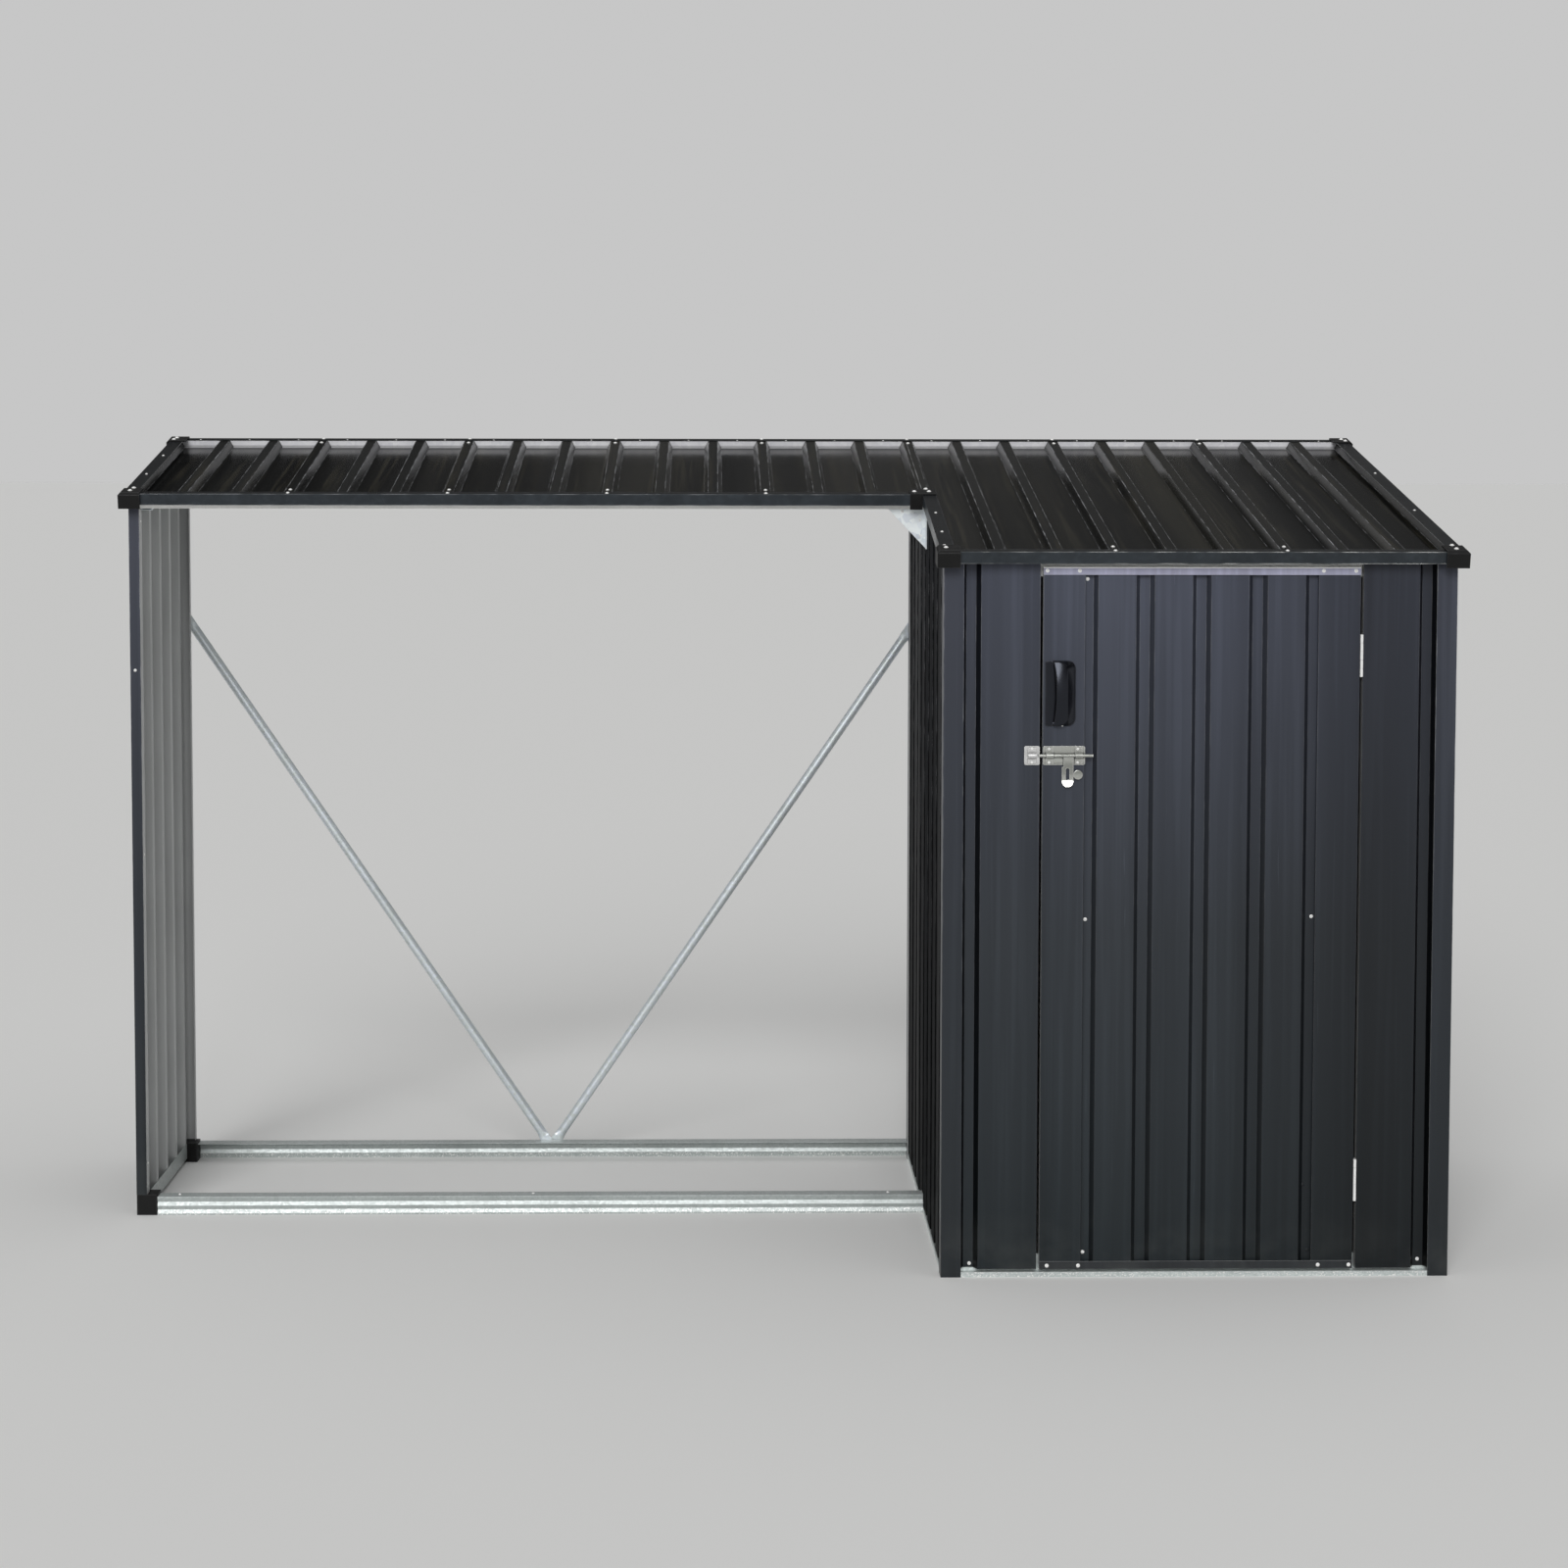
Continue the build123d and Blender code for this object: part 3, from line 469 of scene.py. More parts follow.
# %% Coat the roof sheets
ROOF_PITCH = math.radians(12)
ROOF_UP = (0, -math.sin(ROOF_PITCH), math.cos(ROOF_PITCH))
ROOF_PAINT = (0.0042, 0.0044, 0.0044)
ROOF_GLOSS = (0.12, 0.24)
ROOF_SHINE = 0.12
ROOF_GRIME = (0.036, 0.033, 0.024)
DOWN_THE_ROOF = (1, 0.03, 0.03)
ROOF_DUST = (0.026, 0.025, 0.020)
DUST_REACH = 1.25
DUST_ALONG_X = (
    (-1.0, 0.0), (-0.55, 0.15), (-0.30, 0.75), (-0.10, 0.25),
    (0.40, 0.60), (0.80, 0.90), (1.0, 0.1),
)
RIB_HEIGHT = 0.015
RIB_TOP_LIGHT_TONE = 2.4


def across_the_sheet(finish, place, direction):
    """How far a place lies along a direction, in metres."""
    return dot(finish, place.outputs["Object"], direction)


def by_place(finish, source, start, end, stops):
    """A grey value that changes along a length, from pairs of place and value."""
    ramp = add(finish, "ShaderNodeValToRGB")
    fill_ramp(ramp.color_ramp, [((stop - start) / (end - start), value) for stop, value in stops])
    wire(finish, spread(finish, source, start, end), ramp.inputs["Fac"])
    return ramp.outputs["Color"]


def weather_and_light_the_roof(finish, top_level):
    """Rib tops painted grey as painted light, a film of dust and thin streaks of grime, on the painted
    side alone.
    """
    shader, place, colour = reopen(finish)
    level = across_the_sheet(finish, place, ROOF_UP)
    # Painted light: the rib tops are painted lighter than the valleys.
    upper = spread(finish, level, top_level - RIB_HEIGHT * 0.5, top_level - RIB_HEIGHT * 0.1)
    upward = spread(finish, looks_along(finish, place, ROOF_UP), *PAINTED_SIDE)
    paint = darken(finish, times(finish, upper, upward), colour, RIB_TOP_LIGHT_TONE)
    dusty = by_place(finish, along(finish, place, "X"), -DUST_REACH, DUST_REACH, DUST_ALONG_X)
    film = spread(finish, noise(finish, place, 11, 4, DOWN_THE_ROOF), 0.34, 0.66)
    dust = times(finish, times(finish, dusty, film), upward)
    paint = blend_colours(finish, dust, paint, ROOF_DUST)
    wide = spread(finish, noise(finish, place, 24, 4, DOWN_THE_ROOF), 0.46, 0.62)
    narrow = spread(finish, noise(finish, place, 120, 2, DOWN_THE_ROOF), 0.45, 0.62, 0, 0.7)
    grime = times(finish, times(finish, wide, narrow), upward)
    wire(finish, blend_colours(finish, grime, paint, ROOF_GRIME), shader.inputs["Base Color"])


sheet_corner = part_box("cupboard_roof_sheet")[0]
front_edge = Vector((0, sheet_corner.y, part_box("cupboard_front_trim")[1].z - 0.004))
rib_level = front_edge.dot(Vector(ROOF_UP))
roof_finish = coil_coat(
    "roof_coat", ROOF_UP, (ROOF_PAINT,) * 3, ROOF_GLOSS, ROOF_SHINE, DOWN_THE_ROOF,
    glint_and_wear=0.65, slope_shade=0.9, peel=0.0,
)
weather_and_light_the_roof(roof_finish, rib_level)
dress(roof_finish, "log_roof_sheet", "cupboard_roof_sheet")
print("coated the roof, rib tops at", round(rib_level, 4))

# %% [markdown]
# ## The trims
# Each trim is a folded angle. Its face is painted like the walls, while the flange that lies on the
# roof is painted as dark as the sheet under it. The inside has the sheet's pale back coat, apart from
# the rear trim's, whose cut edge looks forward and is as dark as its flange. Along their folds the
# trims have the walls' lighter line, partly wear and partly a painted glint, and the cupboard's front
# trim has a near white painted highlight along its folds.

# %% Coat the trims
TRIM_PAINT = (0.029, 0.035, 0.041)
TRIM_EDGE_HIGHLIGHT = (0.85, 0.86, 0.84)
TRIM_GLOSS = (0.26, 0.40)
TRIM_SHINE = 0.2
FLANGE_TONE = 0.22
NO_STREAK = (1, 1, 1)


def trim_coat(name, outward, inside, glint_and_wear, rubbed_and_glint):
    """One colour at every height, and a darker flange."""
    finish = coil_coat(
        name, outward, (TRIM_PAINT,) * 3, TRIM_GLOSS, TRIM_SHINE, NO_STREAK,
        inside, glint_and_wear, slope_shade=1.0, rubbed_and_glint=rubbed_and_glint,
    )
    shader, place, colour = reopen(finish)
    flange = spread(finish, looks_along(finish, place, ROOF_UP), 0.80, 0.95)
    wire(finish, darken(finish, flange, colour, FLANGE_TONE), shader.inputs["Base Color"])
    return finish


# The cupboard's front trim takes a near white painted highlight along its folds.
for node, side, inside, glint_and_wear, rubbed_and_glint in (
    ("log_front_trim", FRONT, BACK_COAT, 0.9, RUBBED_AND_GLINT),
    ("cupboard_front_trim", FRONT, BACK_COAT, 1.0, TRIM_EDGE_HIGHLIGHT),
    ("rear_trim", REAR, tone(TRIM_PAINT, 0.2), 0.12, RUBBED_AND_GLINT),
    ("left_trim", LEFT, BACK_COAT, 0.9, RUBBED_AND_GLINT),
    ("step_trim", LEFT, BACK_COAT, 0.9, RUBBED_AND_GLINT),
    ("right_trim", RIGHT, BACK_COAT, 0.9, RUBBED_AND_GLINT),
):
    outward = Vector(side) + Vector(ROOF_UP)
    dress(trim_coat(node + "_coat", outward, inside, glint_and_wear, rubbed_and_glint), node)
print("coated the trims")

# %% [markdown]
# ## Posts
# The corner posts are angles, painted on both legs' outsides. Their outward direction is the
# diagonal of the corner, so that both legs pass the same test.

# %% Coat the posts
POST_SHADES = ((0.020, 0.024, 0.027), (0.029, 0.034, 0.042), (0.050, 0.055, 0.074))
POST_GLOSS = (0.30, 0.46)
for node, corner in (
    ("front_left_post", (-1, -1, 0)), ("front_right_post", (1, -1, 0)),
    ("rear_left_post", (-1, 1, 0)), ("rear_right_post", (1, 1, 0)),
    ("log_front_post", (-1, -1, 0)), ("log_rear_post", (-1, 1, 0)),
):
    post_coat = coil_coat(node + "_coat", corner, POST_SHADES, POST_GLOSS, glint_and_wear=0.9, slope_shade=1.0)
    dress(post_coat, node)
print("coated the posts")

# %% [markdown]
# ## Galvanised steel
# Zinc from a hot bath freezes in flat crystals, the spangle. Each crystal reflects a little
# differently, so a cell pattern drives both colour and roughness. On the low rails, damp has
# begun to raise small pale specks along the strip next to the ground.

# %% Mix the galvanised finish
ZINC_LIGHT = (0.66, 0.71, 0.70)
ZINC_DARK = (0.54, 0.59, 0.58)
ZINC_BRIGHT = (0.72, 0.77, 0.83)
ZINC_GUSSET_LIT = (0.95, 1.00, 1.00)
ZINC_SPECK = (0.88, 0.88, 0.86)
ZINC_WHITE = (1.0, 1.0, 0.98)
ZINC_SHADED = (0.94, 0.94, 0.92)
SPECK_HEIGHT = 0.012


def galvanised(name, spangle, light, dark, metal=0.45, speckled=False):
    """Bright zinc. spangle is the size of its crystals, in metres."""
    finish, shader, place = start_finish(name)
    crystals = add(finish, "ShaderNodeTexVoronoi")
    crystals.inputs["Scale"].default_value = 1 / spangle
    wire(finish, place.outputs["Object"], crystals.inputs["Vector"])
    grey = add(finish, "ShaderNodeSeparateColor")
    wire(finish, crystals.outputs["Color"], grey.inputs["Color"])
    zinc = blend_colours(finish, grey.outputs["Red"], light, dark)
    stain = spread(finish, noise(finish, place, 7, 5), 0.48, 0.75, 0, 0.5)
    zinc = blend_colours(finish, stain, zinc, tone(dark, 0.75))
    if speckled:
        speck = spread(finish, noise(finish, place, 330, 5), 0.55, 0.62, 0, 0.9)
        low = spread(finish, along(finish, place, "Z"), SPECK_HEIGHT, SPECK_HEIGHT * 0.6)
        zinc = blend_colours(finish, times(finish, speck, low), zinc, ZINC_SPECK)
    wire(finish, zinc, shader.inputs["Base Color"])
    shader.inputs["Metallic"].default_value = metal
    wire(finish, spread(finish, grey.outputs["Green"], 0, 1, 0.28, 0.46), shader.inputs["Roughness"])
    folds = rounded_folds(finish, 0.0008)
    raise_surface(finish, shader, noise(finish, place, 180, 3), 0.0001, 0.35, folds)
    return finish


# %% Coat the frame in zinc
frame_zinc = galvanised("frame_zinc", 0.006, ZINC_BRIGHT, ZINC_LIGHT)
# Painted light: the gusset's zinc is painted near white, so it stays bright in the shade of the roof's
# trim.
lit_gusset_zinc = galvanised("lit_gusset_zinc", 0.010, ZINC_GUSSET_LIT, ZINC_BRIGHT, metal=0.25)
rail_zinc = galvanised("rail_zinc", 0.004, ZINC_LIGHT, ZINC_DARK, speckled=True)
# Painted shade: the log bay's rails are a darker copy of the rails' zinc.
LOG_RAIL_SHADE_TONE = 0.76
shaded_log_rail_zinc = galvanised(
    "shaded_log_rail_zinc", 0.004, tone(ZINC_LIGHT, LOG_RAIL_SHADE_TONE), tone(ZINC_DARK, LOG_RAIL_SHADE_TONE),
    metal=0.28, speckled=True,
)
dress(frame_zinc, "cupboard_rear_beam", "cupboard_rafters", "back_braces")
dress(frame_zinc, "log_rear_beam", "log_side_rafter")
dress(lit_gusset_zinc, "corner_gusset")
dress(rail_zinc, "cupboard_front_base", "cupboard_rear_base", "cupboard_side_bases")
dress(shaded_log_rail_zinc, "log_front_rail", "log_rear_rail", "log_side_rail")
print("galvanised the frame")

# %% [markdown]
# ## The front beams
# The head closes the frame over the door, and the log bay's front beam does the same over the logs.
# Only a thin band of each shows, in the shade of the trim. Their zinc is painted the palest of all, a
# painted light that keeps the shaded bands bright as bare metal.

# %% Coat the front beams
painted_light_zinc = galvanised("painted_light_zinc", 0.006, ZINC_WHITE, ZINC_SHADED, metal=0.0)
dress(painted_light_zinc, "door_head", "log_front_beam")
print("coated the front beams")

# %% [markdown]
# ## Moulded plastic
# The roof's corner caps and the feet are moulded in matt black plastic with a fine grain from
# the mould. The door's pull is darker still, polished, and mirrors the light with a blue tint.

# %% Mould the caps and the feet
PULL_TINT = (0.78, 0.84, 1, 1)


def moulded_plastic(name, colour, gloss, grain, shine, round_over):
    """round_over is the radius that the edges are rounded to, in metres."""
    finish, shader, place = start_finish(name, shine)
    worn_and_glint = spread(finish, noise(finish, place, 30, 4), 0.45, 0.8, 0, 0.6)
    tint = blend_colours(finish, worn_and_glint, colour, tone(colour, 2.0))
    edges = rounded_folds(finish, FOLD_RADIUS)
    # A lighter line along the edges: partly wear, partly a painted glint.
    tint = blend_colours(finish, fold_glint_and_wear(finish, place, edges, 0.25), tint, RUBBED_AND_GLINT)
    wire(finish, tint, shader.inputs["Base Color"])
    folds = rounded_folds(finish, round_over)
    smear = noise(finish, place, 60, 3)
    wire(finish, spread(finish, smear, 0.3, 0.7, *gloss), shader.inputs["Roughness"])
    raise_surface(finish, shader, noise(finish, place, 1500, 2), grain, 0.6, folds)
    return finish


matt_plastic = moulded_plastic(
    "matt_black_plastic", (0.006, 0.006, 0.006), (0.42, 0.6), 0.00012, 0.22, 0.0016
)
dress(matt_plastic, "roof_corner_caps", "log_bay_feet")
polished_plastic = moulded_plastic(
    "polished_black_plastic", (0.002, 0.002, 0.003), (0.20, 0.26), 0.00002, 0.48, 0.0010
)
reopen(polished_plastic)[0].inputs["Specular Tint"].default_value = PULL_TINT
print("moulded the caps and feet")

# %% [markdown]
# ## The door's pull
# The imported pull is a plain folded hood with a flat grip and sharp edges. The moulded one is
# soft all over and its grip is crowned, both across and along, so it mirrors the light in front
# near its top and stays dark below. The mesh is copied and rebuilt in small cubes, its edges are
# smoothed like wet clay, and every point is then pushed back by how far it lies from the grip's
# middle. The back, which lies on the door, doesn't move.

# %% Round the edges of a copy
PULL_VOXEL = 0.0009
PULL_SMOOTHING = 8
pull = bring_in("crowned_pull", nodes["door_handle"].data.copy())
rebuild = pull.modifiers.new("rebuild", "REMESH")
rebuild.mode = "VOXEL"
rebuild.voxel_size = PULL_VOXEL
rounding = pull.modifiers.new("rounding", "SMOOTH")
rounding.iterations = PULL_SMOOTHING
bpy.context.view_layer.update()
rounded = pull.evaluated_get(bpy.context.evaluated_depsgraph_get())
pull_mesh = bpy.data.meshes.new_from_object(rounded)
pull_mesh.name = "crowned_pull"
pull.modifiers.clear()
pull.data = pull_mesh

# %% Crown the grip
CROWN_ACROSS = 0.055
CROWN_ALONG = 0.180
BACK_PART = 0.25
GRIP_FROM_EDGE = 0.0265
pull_low, pull_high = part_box("door_handle")
grip_x = pull_low.x + GRIP_FROM_EDGE
grip_z = (pull_low.z + pull_high.z) / 2
for vertex in pull_mesh.vertices:
    depth = (pull_high.y - vertex.co.y) / (pull_high.y - pull_low.y)
    share = max(0, (depth - BACK_PART) / (1 - BACK_PART))
    fall_across = (vertex.co.x - grip_x) ** 2 / (2 * CROWN_ACROSS)
    fall_along = (vertex.co.z - grip_z) ** 2 / (2 * CROWN_ALONG)
    vertex.co.y += share * (fall_across + fall_along)
for face in pull_mesh.polygons:
    face.use_smooth = True
pull_mesh.materials.clear()
pull_mesh.materials.append(polished_plastic)
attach(pull, "door")
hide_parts("door_handle")
print("crowned the pull,", len(pull_mesh.polygons), "faces")

# %% [markdown]
# ## Bright zinc plate
# The bolt and the hinges are small pressings in bright zinc plate, brushed along their length, and the
# screws have the same plate. Fingers dull the flats in patches. The edges are found as the folds are on
# the walls, and painted near white as painted highlights. The staple is painted lighter than the bolt,
# and the hinges and the screws are painted palest of all, as painted highlights.

# %% Plate the bolt and the hinges
ZINC_EDGE_HIGHLIGHT = ZINC_WHITE
ALONG_THE_ROD = (0.05, 1, 1)
ALONG_THE_PIN = (1, 1, 0.05)


def bright_zinc(name, brushed_along, metal, light, dark):
    """Brushed plate, light where it is clean and dark where fingers have dulled it."""
    finish, shader, place = start_finish(name)
    brushed = noise(finish, place, 700, 3, brushed_along)
    plate = blend_colours(finish, spread(finish, brushed, 0.3, 0.7), light, tone(light, 0.75))
    dull = spread(finish, noise(finish, place, 30, 3, brushed_along), 0.38, 0.62, 0.2, 0.9)
    plate = blend_colours(finish, dull, plate, dark)
    # Painted highlight: the edges are painted near white.
    edges = fold_glint_and_wear(finish, place, rounded_folds(finish, 0.0020), 1.0, 0.75)
    wire(finish, blend_colours(finish, edges, plate, ZINC_EDGE_HIGHLIGHT), shader.inputs["Base Color"])
    shader.inputs["Metallic"].default_value = metal
    wire(finish, spread(finish, brushed, 0.3, 0.7, 0.16, 0.36), shader.inputs["Roughness"])
    raise_surface(finish, shader, brushed, 0.00005, 0.4, rounded_folds(finish, 0.0005))
    return finish


# The hinges and the screws are painted near white, as painted highlights.
SCREW_LIGHT, SCREW_DARK = (1.0, 1.0, 0.99), (0.88, 0.88, 0.87)
bolt_zinc = bright_zinc("bolt_zinc", ALONG_THE_ROD, 0.8, (0.66, 0.67, 0.63), (0.22, 0.23, 0.21))
staple_zinc = bright_zinc("staple_zinc", ALONG_THE_ROD, 0.5, (0.84, 0.84, 0.84), (0.42, 0.42, 0.41))
hinge_zinc = bright_zinc("hinge_zinc", ALONG_THE_PIN, 0.1, SCREW_LIGHT, SCREW_DARK)
screw_zinc = bright_zinc("screw_zinc", NO_STREAK, 0.1, SCREW_LIGHT, SCREW_DARK)
dress(bolt_zinc, "bolt_plate", "bolt_rod")
dress(staple_zinc, "bolt_staple")
dress(hinge_zinc, "hinge_frame_leaves", "hinge_door_leaves")
print("plated the bolt and the hinges")

# %% [markdown]
# ## Painted shade in the corners
# The narrow corners beside the rod, under its loops and round the screws are painted darker, as painted
# shade. How open the space in front of a surface is, within a few millimetres, tells the shader where
# they are.

# %% Darken the bolt's corners
CORNER_SHADE_REACH = 0.005
CORNER_SHADE_OPENNESS = (0.85, 0.45)
CORNER_SHADE_TONE = 0.06
CORNER_SHADE_SAMPLES = 8


def corner_shade(finish):
    """Darkens the colour where the space in front of it is narrow, as painted shade."""
    shader, _, colour = reopen(finish)
    openness = add(finish, "ShaderNodeAmbientOcclusion")
    openness.samples = CORNER_SHADE_SAMPLES
    openness.inputs["Distance"].default_value = CORNER_SHADE_REACH
    corner = spread(finish, openness.outputs["AO"], *CORNER_SHADE_OPENNESS)
    wire(finish, darken(finish, corner, colour, CORNER_SHADE_TONE), shader.inputs["Base Color"])


for finish in (bolt_zinc, staple_zinc):
    corner_shade(finish)
print("darkened the bolt's corners")

# %% [markdown]
# ## Turning a screw
# Every sheet is held by small self-tapping screws with a domed head and a wide flange. One
# head is turned from a profile, like a potter's: rings of points round an axis, joined by
# faces. The cross in the head is pressed in by lowering the points that lie near it. Each head
# is turned a little further than the one before, since no two are driven alike. The screws that
# belong together, such as those of one wall, share one mesh.

# %% Turn a screw
SCREW_SIDES = 24
HEAD_PROFILE = (
    (0.0046, 0.0000), (0.0047, 0.0004), (0.0044, 0.0007), (0.0034, 0.0009),
    (0.0032, 0.0016), (0.0026, 0.0022), (0.0018, 0.0026), (0.0010, 0.0028),
)
CROSS_REACH = 0.0021
CROSS_HALF_WIDTH = 0.0006
CROSS_DEPTH = 0.0010
SPIN_STEP = 0.9


def head_height(radius, height, angle):
    """Height of the head's surface, lowered inside the cross."""
    x, y = abs(radius * math.cos(angle)), abs(radius * math.sin(angle))
    if radius < CROSS_REACH and min(x, y) < CROSS_HALF_WIDTH:
        return height - CROSS_DEPTH
    return height


def add_screw(mesh, spot, facing, size, spin):
    """Adds one head to a bmesh, its flange on spot, looking along facing."""
    turn = Vector((0, 0, 1)).rotation_difference(facing).to_matrix().to_4x4()
    move = Matrix.Translation(spot) @ turn @ Matrix.Rotation(spin, 4, "Z") @ Matrix.Scale(size, 4)
    rings = []
    for radius, height in HEAD_PROFILE:
        ring = []
        for side in range(SCREW_SIDES):
            angle = 2 * math.pi * side / SCREW_SIDES
            z = head_height(radius, height, angle)
            point = Vector((radius * math.cos(angle), radius * math.sin(angle), z))
            ring.append(mesh.verts.new(move @ point))
        rings.append(ring)
    for lower, upper in zip(rings, rings[1:]):
        for side in range(SCREW_SIDES):
            after = (side + 1) % SCREW_SIDES
            mesh.faces.new((lower[side], lower[after], upper[after], upper[side]))
    mesh.faces.new(rings[-1])
    mesh.faces.new(rings[0][::-1])


# %% [markdown]
# ## Landing a screw
# A screw must sit on its sheet, whether that is a flat, the bottom of a groove or a sloping
# trim. The sure way is to do what a fitter does and push it in until it meets something: a ray
# is sent from outside, and the first surface it meets gives both the place and the way the head
# looks.

# %% Land a screw on the first surface
def surface_of(mesh):
    """A mesh's faces, sorted so that a ray finds the first one quickly."""
    corners = [vertex.co for vertex in mesh.vertices]
    return BVHTree.FromPolygons(corners, [face.vertices[:] for face in mesh.polygons])


surfaces = {name: surface_of(piece.data) for name, piece in nodes.items()}
surfaces["door_handle"] = surface_of(pull_mesh)


def land(start, toward):
    """The first surface met on the way, as its place and the direction that it faces."""
    nearest = None
    for surface in surfaces.values():
        spot, facing, _, distance = surface.ray_cast(Vector(start), Vector(toward))
        if spot is not None and (nearest is None or distance < nearest[2]):
            nearest = (spot, facing, distance)
    spot, facing, _ = nearest
    if facing.dot(Vector(toward)) > 0:
        facing = -facing
    return spot, facing


def screw_set(name, starts, toward, body="root", size=1.0):
    """Screws pushed in along one direction, as one mesh."""
    mesh = bmesh.new()
    for index, start in enumerate(starts):
        spot, facing = land(start, toward)
        add_screw(mesh, spot, facing, size, index * SPIN_STEP)
    data = bpy.data.meshes.new(name)
    mesh.to_mesh(data)
    mesh.free()
    piece = bring_in(name, data)
    data.materials.append(screw_zinc)
    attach(piece, body)
    print(name, len(starts))
    return piece


# %% [markdown]
# ## Screws in the front of the cupboard
# The panels and the base meet under the door, the door's rails are screwed to its stiles at
# each corner, and the stiles are screwed to the ribbed sheet in its first and last groove, two
# of them with painted heads. All of them are driven from the front, and their places are
# measured from the door's edges and from the walls.

# %% Screw the door and the front panels
OUTSIDE = 2.0
DOWN = (0, 0, -1)
SHEET_SCREW = 0.7
RAIL_INSET = 0.0065
GROOVE_INSET = 0.079
door_low, door_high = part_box("door_rails")
wall_low, wall_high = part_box("cupboard_rear_wall")


def from_front(spots):
    return [(x, -OUTSIDE, z) for x, z in spots]


rail_spots = [(door_low.x + x, door_high.z - RAIL_INSET) for x in (0.0067, 0.0638)]
rail_spots += [(door_high.x - x, door_high.z - RAIL_INSET) for x in (0.0663, 0.0090)]
rail_spots += [(door_low.x + x, door_low.z + RAIL_INSET) for x in (0.0138, 0.0699)]
rail_spots += [(door_high.x - x, door_low.z + RAIL_INSET) for x in (0.0616, 0.0063)]
screw_set("door_rail_screws", from_front(rail_spots), REAR, "door", size=0.75)

first_groove = door_low.x + GROOVE_INSET
last_groove = door_high.x - GROOVE_INSET
groove_spots = [(first_groove, z) for z in (1.2485, 0.643, 0.043)]
groove_spots.append((last_groove, 0.6476))
screw_set("door_groove_screws", from_front(groove_spots), REAR, "door", SHEET_SCREW)
painted_spots = from_front([(last_groove - 0.010, 0.164), (last_groove, 0.045)])
painted_screws = screw_set("painted_door_screws", painted_spots, REAR, "door", SHEET_SCREW)
painted_screws.data.materials[0] = coil_coat("painted_screw_coat", FRONT, POST_SHADES, POST_GLOSS)
panel_spots = [(wall_low.x + 0.051, 0.0215), (wall_high.x - 0.049, 0.0265)]
screw_set("front_panel_screws", from_front(panel_spots), REAR, size=SHEET_SCREW)

# %% [markdown]
# ## Screws in the bolt and the pull
# A barrel bolt has four holes in its plate and two in its staple, next to the straps. The pull
# is held from inside, and only one small screw shows under its lower edge.

# %% Screw the bolt and the pull
BOLT_SCREW = 0.5
plate_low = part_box("bolt_plate")[0]
staple_low, staple_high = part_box("bolt_staple")
plate_spots = [(plate_low.x + x, z) for x in (0.0107, 0.0614) for z in (0.948, 0.924)]
screw_set("bolt_plate_screws", from_front(plate_spots), REAR, "door", size=BOLT_SCREW)
staple_middle = (staple_low.x + staple_high.x) / 2
staple_spots = [(staple_middle, z) for z in (0.9490, 0.9242)]
screw_set("bolt_staple_screws", from_front(staple_spots), REAR, size=BOLT_SCREW)
pull_spots = [(pull_low.x + 0.0305, pull_low.z + 0.0010)]
screw_set("pull_screws", from_front(pull_spots), REAR, "door", size=0.4)

# %% [markdown]
# ## Screws in the roof
# Two screws go through each corner cap, one behind the other, and three through the one in the
# notch. The sheets are screwed through their ribs, where water never stands, on every third rib
# along the front and the rear, and through the trims at the sides. Pushed straight down, each
# lands on its slope and leans with it.

# %% Screw the roof
log_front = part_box("log_front_trim")[0].y
cup_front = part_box("cupboard_front_trim")[0].y
roof_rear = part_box("rear_trim")[1].y


def from_above(spots):
    return [(x, y, OUTSIDE) for x, y in spots]


cap_spots = [(-1.2090, log_front + 0.014), (-1.2060, log_front + 0.036)]
cap_spots += [(1.2075, cup_front + 0.010), (1.2060, cup_front + 0.036)]
cap_spots += [(0.3086, cup_front + 0.018), (0.3075, cup_front + 0.043)]
cap_spots += [(0.2836, log_front + 0.012), (0.3069, log_front + 0.034), (0.3116, log_front + 0.012)]
cap_spots += [(-1.2112, roof_rear - 0.017), (-1.2150, roof_rear - 0.032)]
cap_spots += [(1.2098, roof_rear - 0.017), (1.2150, roof_rear - 0.032)]
screw_set("cap_screws", from_above(cap_spots), DOWN, size=0.95)

RIB_PITCH = 0.101
RIB_SCREW_INSETS = (0.008, 0.042)
rib_ends = [(rib, log_front, 1) for rib in (-9, -6, -3, 0)]
rib_ends += [(rib, cup_front, 1) for rib in (6, 9)]
rib_ends += [(rib, roof_rear, -1) for rib in range(-9, 10, 3)]
rib_spots = [
    (rib * RIB_PITCH, edge + inward * inset)
    for rib, edge, inward in rib_ends for inset in RIB_SCREW_INSETS
]
screw_set("roof_rib_screws", from_above(rib_spots), DOWN, size=0.8)

edge_spots = []
for part in (0.33, 0.66):
    edge_spots.append((-1.209, log_front + (roof_rear - log_front) * part))
    edge_spots.append((1.209, cup_front + (roof_rear - cup_front) * part))
edge_spots += [(0.312, cup_front + 0.15), (0.312, cup_front + 0.30)]
screw_set("roof_edge_screws", from_above(edge_spots), DOWN, size=0.62)

# %% [markdown]
# ## Tabs in the valleys
# Under the rear trim every valley of the roof would be an open mouth for rain and birds. A small folded
# tab of pale zinc closes each one: an upright that fits between the two ribs, and a short foot with one
# screw. The tab is drawn as an outline seen from the side, with a real bend, and is then stretched
# across the valley until it meets both ribs. Its lower part, where it meets the valley floor, is
# painted darker as painted shade.

# %% Measure a valley
ROOF_RUN = Vector((0, math.cos(ROOF_PITCH), math.sin(ROOF_PITCH)))
MIDWAY = RIB_PITCH / 2


def on_the_roof(x, run, level):
    """A place from its distance up the slope and its height square to it."""
    return Vector((x, 0, 0)) + ROOF_RUN * run + Vector(ROOF_UP) * level


